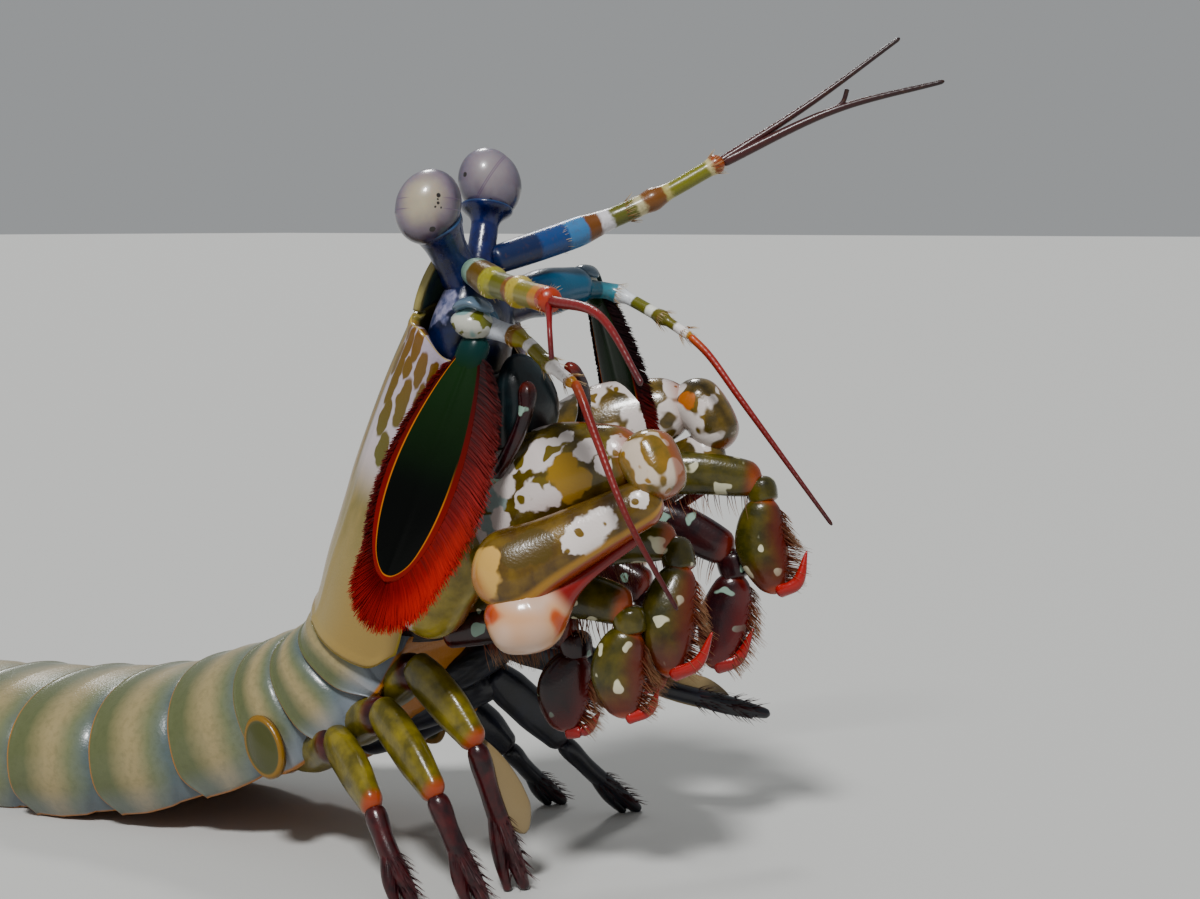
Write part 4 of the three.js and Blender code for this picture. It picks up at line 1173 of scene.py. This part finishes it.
# Striking claws
clawAnchors = {
    "right": {"shoulder": (14.6, -9, 31.6), "knee": (34.2, -5.4, 43.9), "wrist": (36.4, -5.8, 40.2),
              "knuckle": (22.2, -15.6, 31.0),
              "clubEnd": (26, -14, 27.8), "tip": (34.6, -6.6, 36.2)},
    "left": {"shoulder": (8.8, 5.8, 33), "knee": (24.4, 16.8, 47), "wrist": (27.8, 17.2, 42.4),
             "knuckle": (13, 12.6, 33.4),
             "clubEnd": (16.6, 12.4, 30.6), "tip": (26.4, 17, 38)},
}


whiteSpots = [
    (25.4, -9.9, 43.5, 1.7), (26.6, -9.5, 44.2, 1.1), (24.2, -10.2, 42.9, 1.1), (25.7, -10.6, 39.9, 1.7),
    (24.3, -10.9, 39.2, 1.1), (26.9, -10.2, 39.6, 1.1), (22.6, -11.0, 42.3, 0.9),
    (22.0, -11.0, 40.4, 1.3), (29.9, -8.8, 44.1, 1.2), (27.5, -8.7, 45.1, 0.8), (31.8, -8.6, 42.9, 1.0),
    (21.8, -11.4, 37.2, 1.1), (32.9, -7.5, 44.6, 1.2), (32.3, -11.8, 36.7, 1.9),
    (33.3, -10.9, 37.9, 1.5), (31.4, -12.7, 36.0, 1.1), (36.0, -8.5, 39.9, 0.9), (35.6, -7.5, 44.8, 1.1),
    (19.2, -11.0, 35.2, 1.2), (20.4, -9.0, 42.4, 1.2), (23.4, -7.0, 46.4, 1.4), (27.6, -5.2, 47.2, 1.3),
    (29.4, -1.6, 42.4, 1.6), (24.4, -3.6, 38.2, 1.6), (20.0, -4.4, 35.4, 1.4),
]


rustyEdge = "#8f3804"


def mottledMaterial(name, ground, patch, sizeMm=4.5, amount=0.52, spots=(), extras=(), seam=None):
    # Claw shell: thick polished olive-brown cuticle with cream islands, and rusty at its ridges and ends
    material, tree = startMaterial(name)
    if spots:
        mask = spotMask(tree, spots, 0.55, 1.0)
    else:
        mask = fade(tree, speckle(tree, sizeMm, 1.5, 0.4), amount, amount + 0.05)
    shade = twoTone(tree, 2.0, ground)
    for places, tone in extras:
        shade = blend(tree, spotMask(tree, places, 0.7, 1.5), shade, tone)
    islands = fade(tree, speckle(tree, 1.5, 1, 0.3), 0.63, 0.67)
    patched = blend(tree, islands, patch, ground[1])
    colour = blend(tree, mask, shade, patched)
    low = fade(tree, attribute(tree, "top"), 0.93, 0.99)
    colour = blend(tree, product(tree, low, 0.7), colour, rustyEdge)
    ends = fade(tree, attribute(tree, "along"), 0.9, 0.97)
    colour = blend(tree, product(tree, ends, 0.6), colour, rustyEdge)
    if seam:
        below = attribute(tree, "top")
        colour = blend(tree, fade(tree, below, -0.62, -0.8), colour, seam)
        colour = blend(tree, fade(tree, below, -0.84, -0.92), colour, rustyEdge)
    cuticle(tree, colour, rough=0.24, coat=0.5)
    return material


def clubMaterial():
    # Striking club: smooth as enamel, a cream and orange heel and a blood-red blade
    material, tree = startMaterial("cream and red striking club")
    along = attribute(tree, "along")
    uneven = speckle(tree, 4.6, 1)
    heel = ramp(tree, uneven, [(0.36, "#cfae98"), (0.52, "#cc9a70"), (0.58, "#b85018"), (0.66, "#9a2a06")])
    blade = blend(tree, fade(tree, along, 0.4, 0.5), heel, "#780804")
    cuticle(tree, blade, rough=0.2, coat=0.7, depth=0.01)
    return material


clawBases = {
    "right": [(18.6, -10.4, 36.4), (13.4, -10.4, 30.6), (10.2, -9.4, 24.8)],
    "left": [(11.4, 7.0, 36.6), (8.0, 6.4, 31.0), (5.8, 5.4, 25.4)],
}


clawShapes = {  # half widths and half heights in mm along each length of the claw
    "base": [(0, 3.0, 3.4), (0.4, 3.3, 4.2), (0.75, 3.2, 3.8), (1, 2.6, 2.8)],
    "arm": [(0, 2.6, 3.0), (0.2, 3.6, 4.9), (0.4, 4.0, 5.5), (0.65, 3.8, 4.9), (0.88, 2.8, 3.3),
            (1, 2.4, 2.6)],
    "wrist": [(0, 2.3, 2.2), (0.3, 2.9, 2.7), (0.6, 2.9, 2.6), (1, 2.5, 2.2)],
    "hand": [(0, 2.0, 2.1), (0.3, 2.4, 2.6), (0.6, 2.9, 3.3), (0.82, 3.3, 4.1), (1, 3.0, 3.6)],
    "club": [(0, 2.0), (0.16, 3.1, 3.3), (0.3, 3.2), (0.42, 1.9, 2.0), (0.52, 1.1, 1.2), (1, 0.4, 0.5)],
}


def buildClawBases():
    # The broad joint that carries each striking claw, in worn olive-yellow shell
    places = [(10.4, -12.4, 26.6, 1.5), (11.6, -13.6, 29.6, 1.0), (6.0, 8.4, 27.0, 1.4)]
    shell = mottledMaterial("olive-yellow claw base shell", ("#7a6a14", "#a8942c"), "#c9c0ac", spots=places)
    for side, path in clawBases.items():
        base = Limb(path, clawShapes["base"], up=(0.8, 0.2, -0.4), square=2.3, ends=(0.2, 0.2))
        addPiece(f"claw_base_{side}", base.part(40, 28), shell, slot="claw_mottled")


def buildClaws():
    armTones = [([(28.0, -9.8, 42.2, 1.6), (28.6, -9.7, 40.6, 1.5), (29.8, -9.4, 41.4, 1.2)], "#8c6a08"),
                ([(21.2, -11.3, 39.0, 1.3), (20.4, -11.3, 36.4, 1.3)], "#8a9a98"),
                ([(19.0, -11.0, 34.0, 2.2)], "#94801c")]
    handTones = [([(23.4, -16.8, 32.6, 2.7), (24.6, -16.8, 34.2, 1.5)], "#c49a4c"),
                 ([(28.4, -14.5, 35.7, 1.8), (27.2, -15.4, 34.9, 1.5)], "#4e3c06"),
                 ([(21.6, -17.4, 31.0, 1.3), (22.6, -17.6, 30.0, 1.0)], "#b05414")]
    olive = mottledMaterial("mottled claw arm shell", ("#3c2e04", "#62520a"), "#cfc4c0", spots=whiteSpots,
                            extras=armTones)
    handShell = mottledMaterial("olive claw hand shell", ("#46300a", "#6c520c"), "#ddd2cc",
                                spots=whiteSpots, extras=handTones, seam="#a8781c")
    wristTone = mottledMaterial("olive claw wrist shell", ("#5a4a0c", "#8a6414"), "#c9b8a4", 2.4, 0.55)
    pale = mottledMaterial("pale mottled claw shell", ("#3c3008", "#6a5210"), "#cfc4be", 2.6, 0.49,
                           extras=[([(25.5, 14.3, 47.0, 1.1), (21.0, 12.2, 45.0, 1.0),
                                     (36.0, -6.2, 42.0, 0.8)], "#a85a10")])
    club = clubMaterial()
    for side, anchors in clawAnchors.items():
        p = {key: np.array(value, float) for key, value in anchors.items()}
        along, across = p["knee"] - p["shoulder"], unit(p["wrist"] - p["knee"])
        up = -across + unit(along) * 0.2
        body = olive if side == "right" else pale
        arm = Limb([p["shoulder"], p["shoulder"] + along * 0.5 + up * 2.6, p["knee"]],
                   clawShapes["arm"], up=up, square=2.2, ends=(0.12, 0.12))
        addPiece(f"claw_arm_{side}", arm.part(48, 32), body)
        forth = unit(along)
        bend = [p["knee"] + up * 1.9 - forth * 0.6, (p["knee"] + p["wrist"]) / 2 + forth * 0.3,
                p["wrist"] - up * 0.6]
        wrist = Limb(bend, clawShapes["wrist"], up=along, square=2.4, ends=(0.28, 0.25))
        addPiece(f"claw_wrist_{side}", wrist.part(30, 28), wristTone if side == "right" else pale)
        hand = Limb([p["wrist"], (p["wrist"] + p["knuckle"]) / 2, p["knuckle"]],
                    clawShapes["hand"], up=up, square=2.3, ends=(0.1, 0.22))
        addPiece(f"claw_hand_{side}", hand.part(48, 32), handShell if side == "right" else pale)
        start = p["knuckle"] + across * 2.4
        reach = p["tip"] - p["clubEnd"]
        path = [start, p["clubEnd"] + reach * 0.1, p["clubEnd"] + reach * 0.45, p["tip"]]
        claw = Limb(path, clawShapes["club"], up=up, ends=(0.14, 0.04))
        addPiece(f"claw_club_{side}", claw.part(60, 28), club)
    buildClawBases()
    print("claws made")


buildClaws()


# Feeding legs
feedingLegs = {
    "maxilliped_3_right": {"arm": [(15, -5.5, 31), (26.8, -0.8, 34.2), (32.8, 2, 34.6)],
                           "hand": [(33.7, 1.7, 32.4), (33.6, -0.4, 28.4), (34.5, -1.6, 22)],
                           "finger": [(34.5, -1.6, 22.2), (37, -0.7, 23.5), (38, 0.4, 26.5)]},
    "maxilliped_4_right": {"arm": [(13.6, -6.5, 27.6), (26.3, -4.6, 29.4), (31.4, -3.6, 28.6)],
                           "hand": [(31.6, -3.6, 26.8), (30.7, -4.5, 23.6), (31.5, -4.8, 18.2)],
                           "finger": [(31.5, -4.8, 18.4), (33.3, -3.2, 19.1), (33.9, -2.6, 21)]},
    "maxilliped_5_right": {"arm": [(11.4, -7.5, 24.4), (20, -5.6, 26.4), (25.4, -4.2, 25.6)],
                           "hand": [(25.6, -4.2, 23.8), (24.6, -5, 20.6), (24.6, -5.2, 16)],
                           "finger": [(24.6, -5.2, 16.2), (26.4, -4, 16.3), (27.4, -3.2, 18)]},
    "maxilliped_3_left": {"arm": [(12, 7, 35), (24.2, 13.6, 39.4), (31.8, 18.7, 38.8)],
                          "hand": [(32.3, 18.5, 37.2), (32.2, 17.8, 33), (34.4, 17.4, 27.4)],
                          "finger": [(34.4, 17.4, 27.6), (36.4, 18, 28.6), (37, 19, 31.9)]},
    "maxilliped_4_left": {"arm": [(11, 6.5, 31.4), (22, 13, 34.6), (29.2, 17.4, 31.2)],
                          "hand": [(29.6, 17.4, 29.2), (28.8, 16.8, 25.4), (28.6, 14.6, 19.4)],
                          "finger": [(28.6, 14.6, 19.6), (30.6, 16, 20.4), (31.8, 17.2, 23.6)]},
    "maxilliped_5_left": {"arm": [(9.6, 5.4, 27.6), (17.4, 10, 29), (22.6, 12, 27.4)],
                          "hand": [(22.8, 12, 25.6), (21.8, 11.6, 22.2), (22, 10.6, 17.2)],
                          "finger": [(22, 10.6, 17.4), (23.8, 11.6, 17.6), (24.6, 12.4, 19.6)]},
}


feedingShapes = {  # the same along each length of a feeding leg
    "arm": [(0, 1.2, 1.4), (0.35, 1.4, 1.9), (0.75, 1.55, 2.2), (0.93, 1.5, 1.9), (1, 1.3, 1.6)],
    "wrist": [(0, 1.35, 1.4), (0.5, 1.5, 1.6), (1, 1.3, 1.35)],
    "hand": [(0, 1.2, 1.4), (0.25, 1.5, 2.3), (0.5, 1.55, 2.7), (0.8, 1.3, 2.0), (1, 0.8, 1.0)],
    "finger": [(0, 0.75, 0.95), (0.3, 0.55, 0.75), (0.7, 0.34, 0.42), (1, 0.1)],
    "slender": [(0, 0.9), (0.7, 0.7), (1, 1.0, 0.8)],
}


def legMaterial(name, ground, spot, joint, finger, spotAmount):
    # Feeding leg shell: speckled and wet, the pale speckles partly painted glints, with a maroon back on
    # the hand and rusty joints;
    # seg is 0 on the arm, 1 on the wrist, 2 on the hand and 3 on the finger
    material, tree = startMaterial(name)
    along, seg = attribute(tree, "along"), attribute(tree, "seg")
    shade = twoTone(tree, 1.8, ground)
    # pale speckles: partly the shell's own spots, partly painted glints
    spots = fade(tree, speckle(tree, 1.9, 1, 0.3), spotAmount, spotAmount + 0.03)
    colour = blend(tree, spots, shade, spot)
    isHand = product(tree, fade(tree, seg, 1.5, 1.6), fade(tree, seg, 2.6, 2.5))
    rear = product(tree, fade(tree, attribute(tree, "top"), -0.2, 0.75), isHand)
    rear = sums(tree, "MAXIMUM", rear, product(tree, isHand, fade(tree, along, 0.55, 0.95)))
    colour = blend(tree, product(tree, rear, 0.85), colour, "#540606")
    ends = fade(tree, sums(tree, "ABSOLUTE", sums(tree, "SUBTRACT", along, 0.5)), 0.4, 0.48)
    colour = blend(tree, product(tree, ends, 0.8), colour, joint)
    colour = blend(tree, fade(tree, seg, 2.5, 2.6), colour, finger)
    cuticle(tree, colour, rough=0.26, coat=0.5)
    return material


def buildFeedingLegs():
    near = legMaterial("olive feeding leg shell", ("#2c2a04", "#544a06"), "#c8c4a4", "#a03a06", "#9a0c06",
                       0.64)
    # darker maroon copy of the shell, partly painted shade, for the legs that sit in shadow under the claws
    # and further back
    far = legMaterial("shaded maroon feeding leg shell", ("#16040a", "#300608"), "#7f9c8c", "#6a1806", "#8a0a06",
                      0.66)
    comb = bristleMaterial("brown comb bristle", "#5c1a10", "#8f6a4c")
    for name, leg in feedingLegs.items():
        material = near if name in ("maxilliped_3_right", "maxilliped_4_right",
                                    "maxilliped_3_left") else far
        arm, hand, finger = leg["arm"], leg["hand"], leg["finger"]
        cuff = [np.array(arm[2]) + (-0.6, 0, 0.3), np.array(hand[0]) + (0, 0, -0.8)]
        armLimb = Limb(arm, feedingShapes["arm"], square=2.4, ends=(0.05, 0.06))
        wrist = Limb(cuff, feedingShapes["wrist"], up=(1, 0.3, 0), square=2.5, ends=(0.3, 0.12))
        handLimb = Limb(hand, feedingShapes["hand"], up=(0.8, 0.6, 0), ends=(0.14, 0.1))
        fingerLimb = Limb(finger, feedingShapes["finger"], up=(0.8, 0.6, 0.1), ends=(0.1, 0.02))
        parts = [armLimb.part(40, 20, 0), wrist.part(20, 18, 1), handLimb.part(40, 22, 2),
                 fingerLimb.part(30, 12, 3)]
        addPiece(name, parts, material)
        addCombs(name, armLimb, handLimb, comb)
    for side, hand in hands.items():
        s, r, u = [123, 128, 133, 136], [5, 6, 4.4, 3], [-7.4, -10.8, -11.4, -10.2]
        path = [onBody(a, hand * b, c)[0] for a, b, c in zip(s, r, u)]
        limb = Limb(path, feedingShapes["slender"])
        addPiece(f"maxilliped_1_{side}", limb.part(40, 14), far)
    print("feeding legs made")


def addCombs(name, armLimb, handLimb, material):
    rows = [rowOfBristles(handLimb, 0.1, 0.95, 0.0, 0.16, 150, 1.7, 0.4, 5),
            rowOfBristles(handLimb, 0.2, 0.9, 0.35, 0.2, 60, 2.4, 0.5, 6),
            rowOfBristles(armLimb, 0.25, 0.95, np.pi, 0.12, 90, 2.6, 0.1, 8)]
    addBristles(name + "_combs", rows, material, 0.06, 0.35, 5)


buildFeedingLegs()


# Walking legs
walkingLegs = {
    "walking_leg_1_right": {"hip": (8.8, -9.6, 21.7), "knee": (18, -10.2, 14.6), "foot": (20.4, -7.4, 0)},
    "walking_leg_2_right": {"hip": (6.4, -12, 17.4), "knee": (16.6, -14.6, 10.2), "foot": (20.6, -13.6, 0)},
    "walking_leg_3_right": {"hip": (0.6, -12.4, 13.6), "knee": (10.6, -17, 8.6), "foot": (15, -17.6, 0)},
    "walking_leg_1_left": {"hip": (6.6, 6, 21.5), "knee": (17, 15, 17), "foot": (27.6, 25.6, 12.4)},
    "walking_leg_2_left": {"hip": (4.2, 8, 17.2), "knee": (8.6, 15.5, 8.4), "foot": (12.6, 22.5, 0)},
    "walking_leg_3_left": {"hip": (-1.4, 8, 13.4), "knee": (1.6, 14.6, 7), "foot": (4, 20, 0)},
}


walkingShapes = {  # the same along each length of a walking leg
    "thigh": [(0, 1.2, 1.6), (0.25, 1.4, 2.15), (0.6, 1.35, 2.1), (0.88, 1.1, 1.55), (1, 1.05, 1.35)],
    "shin": [(0, 0.95), (0.12, 1.1, 1.15), (0.3, 0.95, 1.05), (0.7, 0.95, 1.1), (0.9, 0.7, 0.75), (1, 0.5)],
    "branch": [(0, 0.8), (0.6, 0.7), (1, 0.4)],
    "hip": [(0, 2.6, 2.8), (0.5, 2.3, 2.6), (0.85, 1.9, 2.1), (1, 1.6, 1.9)],
    "paddle": [(0, 0.5, 0.4), (0.45, 1.5, 0.4), (0.8, 1.7, 0.35), (1, 1.2, 0.3)],
}


def walkingMaterial(name, upper, joint, lower):
    # Walking leg shell: olive above, dark and glossy below a rusty knee, with a buff paddle;
    # seg is 0 on the thigh, 1 below the knee, 2 at the hip and 3 on the paddle
    material, tree = startMaterial(name)
    seg, along = attribute(tree, "seg"), attribute(tree, "along")
    shade = twoTone(tree, 1.8, upper)
    shade = blend(tree, fade(tree, along, 0.85, 0.97), shade, joint)
    dark = twoTone(tree, 1.4, lower)
    colour = blend(tree, fade(tree, seg, 0.5, 0.6), shade, dark)
    hip = blend(tree, fade(tree, along, 0.8, 0.95), shade, dark)
    colour = blend(tree, fade(tree, seg, 1.5, 1.6), colour, hip)
    colour = blend(tree, fade(tree, seg, 2.5, 2.6), colour, "#7c6a48")
    cuticle(tree, colour, rough=0.28, coat=0.45)
    return material


def buildWalkingLegs():
    near = walkingMaterial("olive walking leg shell", ("#4a4206", "#7a6c10"), "#94360a",
                           ("#1c0408", "#42080c"))
    far = walkingMaterial("blue-black walking leg shell", ("#05060e", "#0c1024"), "#160a14",
                          ("#04040a", "#0a0c1e"))
    dark = bristleMaterial("dark leg bristle", "#1c0a10", "#4c2a2c")
    spread = np.array((0.54, 0.72, 0.0))
    for name, leg in walkingLegs.items():
        hip, knee, foot = (np.array(leg[key], float) for key in ("hip", "knee", "foot"))
        shin = knee * 0.55 + foot * 0.45
        thigh = Limb([hip, hip * 0.5 + knee * 0.5 + (0, 0, 0.3), knee], walkingShapes["thigh"], square=2.5,
                     ends=(0.06, 0.1))
        lower = Limb([knee * 0.94 + hip * 0.06, shin, foot + spread], walkingShapes["shin"], up=(1, 0, 0.2),
                     ends=(0.08, 0.03))
        branch = Limb([shin * 0.9 + knee * 0.1, shin * 0.5 + foot * 0.5 - spread * 0.9, foot - spread],
                      walkingShapes["branch"], up=(1, 0, 0.2), ends=(0.05, 0.03))
        hand = 1 if name.endswith("right") else -1
        number = int(name.split("_")[2])
        start = onBody(102 - 6 * number, hand * 4.5, -3.4)[0]
        hipLimb = Limb([start, start * 0.4 + hip * 0.6 - (0, 0, 0.8), hip * 0.9 + knee * 0.1],
                       walkingShapes["hip"], ends=(0.2, 0.12))
        parts = [thigh.part(34, 20, 0), lower.part(36, 16, 1), branch.part(26, 12, 1),
                 hipLimb.part(28, 20, 2)]
        if number == 1:
            rise = knee * 0.8 + hip * 0.2
            path = [rise, rise * 0.5 + shin * 0.5 + spread * 1.6, shin * 0.7 + foot * 0.3 + spread * 2.6]
            paddle = Limb(path, walkingShapes["paddle"], up=(0.8, -0.6, 0.3), ends=(0.1, 0.25))
            parts.append(paddle.part(28, 18, 3))
        addPiece(name, parts, near if name.endswith("right") else far)
        brush = rowOfBristles(lower, 0.5, 0.9, 0, 1.2, 90, 1.3, 1.3, 9)
        clear = brush[0][:, 2] + brush[1][:, 2] > 0.5  # tips well above the floor
        addBristles(name + "_brush", [tuple(values[clear] for values in brush)], dark, 0.06, 0.3,
                    4)
    print("walking legs made")


buildWalkingLegs()


# Trunk, mouthparts, tail fan and swimmerets
def plainMaterial(name, dark, light):
    # Thin wet shell in two close tones, for the parts that stay in the background
    material, tree = startMaterial(name)
    cuticle(tree, twoTone(tree, 2.4, (dark, light)), rough=0.34, coat=0.35)
    return material


def undersideMaterial():
    # Soft underside skin, folded and wet: maroon at both ends, olive between the legs
    material, tree = startMaterial("olive and maroon underside skin")
    uneven = speckle(tree, 3.0, 3)
    reach = waver(tree, attribute(tree, "along"), uneven, 0.3)
    colour = ramp(tree, reach, [(0.0, "#1c0405"), (0.26, "#2c0a06"), (0.38, "#766414"), (0.64, "#645e12"),
                                (0.78, "#1c0a0a"), (1.0, "#2c1c10")])
    cuticle(tree, colour, rough=0.35, coat=0.35)
    return material


def buildUnderside():
    t, a, shape = tubeGrid(50, 48, 0.004)
    wide, high, drop = readStops([(0, 8.6, 5.4, 6.0), (0.6, 8.4, 5.6, 6.2), (1, 5.2, 3.4, 4.6)], t)
    joints = 0.3 * np.abs(np.sin(t * 6 * np.pi)) ** 0.5 * (np.cos(a) < 0)
    up = np.cos(a) * np.where(np.cos(a) > 0, high, drop + joints)
    addBodyTube("trunk", t, shape, onBody(103.6 + 29.6 * t, np.sin(a) * wide, up), undersideMaterial())
    path = [onBody(136, 0, -6)[0], onBody(131, 0, -8.6)[0], onBody(125, 0, -8.2)[0]]
    mouth = Limb(path, [(0, 2.0, 1.6), (0.5, 3.8, 2.4), (1, 3.0, 1.6)], up=bodyFrame(130)[3][0],
                 ends=(0.2, 0.2))
    addPiece("mouthparts", mouth.part(40, 28), plainMaterial("dark mouthparts shell", "#04080c", "#0c2024"))


tailShapes = {  # the same for the tail; the telson has its depth below too
    "telson": [(0, 4.5, 0.7, 0.7), (0.08, 6.8, 1.0, 0.9), (0.35, 9.4, 2.6, 1.8), (0.7, 9.8, 4.4, 2.6),
               (1, 9.8, 5.2, 3.0)],
    "stem": [(0, 1.6, 1.3), (0.5, 1.8, 1.4), (1, 1.5, 1.0)],
    "swimmeret": [(0, 1.6, 0.6), (0.5, 2.8, 0.6), (1, 1.4, 0.4)],
}


def buildTail():
    t, a, shape = tubeGrid(60, 96, 0.0)
    across, rise = np.sin(a), np.cos(a)
    wide, high, drop = readStops(tailShapes["telson"], t)
    keel = sum(0.5 * np.exp(-((across * wide - line) / 0.45) ** 2) for line in (-6, -3.2, 0, 3.2, 6))
    keel = keel * (rise > 0) * ease(t * 3)
    teeth = 0.5 * np.maximum(0, np.cos(t * 30)) ** 3 * np.abs(across) ** 12 * ease((0.6 - t) * 4)
    up = np.sign(rise) * np.abs(rise) ** 0.8 * np.where(rise > 0, high, drop) + keel
    addBodyTube("telson", t, shape, onBody(0.3 + 20 * t, across * (wide + teeth), up),
                plainMaterial("green telson shell", "#142a0c", "#3c5418"))
    fan = bristleMaterial("red fan bristle", "#6a0a04", "#9c200c")
    blue = plainMaterial("blue tail fan shell", "#06244a", "#145a66")
    swimmeretShell = plainMaterial("red swimmeret skin", "#4a0c0c", "#803024")
    _, forward, rightward, back = (v[0] for v in bodyFrame(14))
    for side, hand in hands.items():
        root = onBody(24, hand * 11.2, -1)[0]
        out, rear = rightward * hand, -forward
        splay = unit(rear * 0.92 + out * 0.4)
        stem = Limb([root - rear * 1.5, root + splay * 3, root + splay * 7], tailShapes["stem"], up=back,
                    ends=(0.15, 0.2)).part(26, 20)
        parts, fringes = [stem], []
        for start, ahead, length, half in ((root + splay * 3.5 + out * 1.2, splay, 19, 4.0),
                                           (root + splay * 4 - out * 0.4, unit(splay - out * 0.34), 15,
                                            2.6)):
            across = unit(np.cross(ahead, back))
            turn = np.linspace(0.02, np.pi - 0.02, 40)
            reach, wide = scaleOutline(turn, length, half)
            k = np.sin(np.linspace(-1, 1, 25) * np.pi / 2)
            kk, rr = np.meshgrid(k, reach, indexing="xy")
            ww = np.broadcast_to(wide[:, None], kk.shape)
            dome = 1 - kk**2
            top = start + each(ahead, rr) + each(across, kk * ww) + each(back, 0.1 + 0.5 * dome)
            low = top - each(back, 0.2 + 0.8 * dome)
            parts.append(gridPart(np.concatenate([top, low[:, ::-1]], axis=1), closed=True, poles=True))
            around = np.linspace(1.0, 2 * np.pi - 1.0, 700)
            edgeAlong, edgeWide = scaleOutline(around, length, half * 0.96)
            base = start + each(ahead, edgeAlong) + each(across, edgeWide)
            fly = each(ahead, (edgeAlong / length - 0.2) * 1.5) + each(across, np.sign(edgeWide) * 0.7)
            fly = unit(fly) * 1.3
            fly[:, 2] = np.maximum(fly[:, 2], 0.1 - base[:, 2])
            places = np.column_stack([0.1 + 0.8 * edgeAlong / length, 0.5 + 0.1 * edgeWide])
            fringes.append((base, fly, np.broadcast_to(back, base.shape), places))
        fixNormals(addPiece(f"uropod_{side}", parts, blue))
        addBristles(f"uropod_fringe_{side}", fringes, fan, 0.1, 0.0, 21)
        for n in range(1, 6):
            s = bellySize["front"] - (n - 0.35) * bellySize["step"]
            start = onBody(s, hand * 4.2, -3.2)[0]
            end = onBody(s - (8.8 if n < 5 else 5), hand * 4.8, -4.7)[0]
            paddle = Limb([start, (start + end) / 2, end], tailShapes["swimmeret"], up=bodyFrame(s)[3][0],
                          ends=(0.2, 0.3)).part(24, 18)
            paddle["verts"][:, 2] = np.maximum(paddle["verts"][:, 2], 0.05)
            addPiece(f"pleopod_{side}_{n}", paddle, swimmeretShell)
    print("tail made")


buildUnderside()
buildTail()


# Floor and light
stageLook = {"floor": "#bdbdba", "sunAngle": 0.16, "sky": (0.9, 0.93, 0.95, 1), "skyPower": 0.36,
             "suns": {"key": ((0.3, -0.6, 0.8), 3.5), "back": ((-0.5, 0.5, 0.6), 0.9)}}


def buildStage():
    bpy.ops.mesh.primitive_plane_add(size=18, location=(0, 0, 0))
    floor = bpy.context.object
    floor.name = "floor"
    material, tree = startMaterial("pale floor")  # matt board that only takes the shadow
    addSurface(tree, {}, {"Base Color": linear(stageLook["floor"]), "Roughness": 0.9})
    floor.data.materials.append(material)
    for name, (place, power) in stageLook["suns"].items():
        data = bpy.data.lights.new(name, "SUN")
        data.energy, data.angle = power, stageLook["sunAngle"]
        lamp = bpy.data.objects.new(name, data)
        lamp.location = place
        lamp.rotation_mode = "QUATERNION"
        lamp.rotation_quaternion = (Vector((0.02, 0, 0.04)) - Vector(place)).to_track_quat("-Z", "Y")
        bpy.context.scene.collection.objects.link(lamp)
    world = bpy.data.worlds.new("studio")
    world.use_nodes = True
    sky = world.node_tree.nodes["Background"].inputs
    sky["Color"].default_value, sky["Strength"].default_value = stageLook["sky"], stageLook["skyPower"]
    bpy.context.scene.world = world


buildStage()
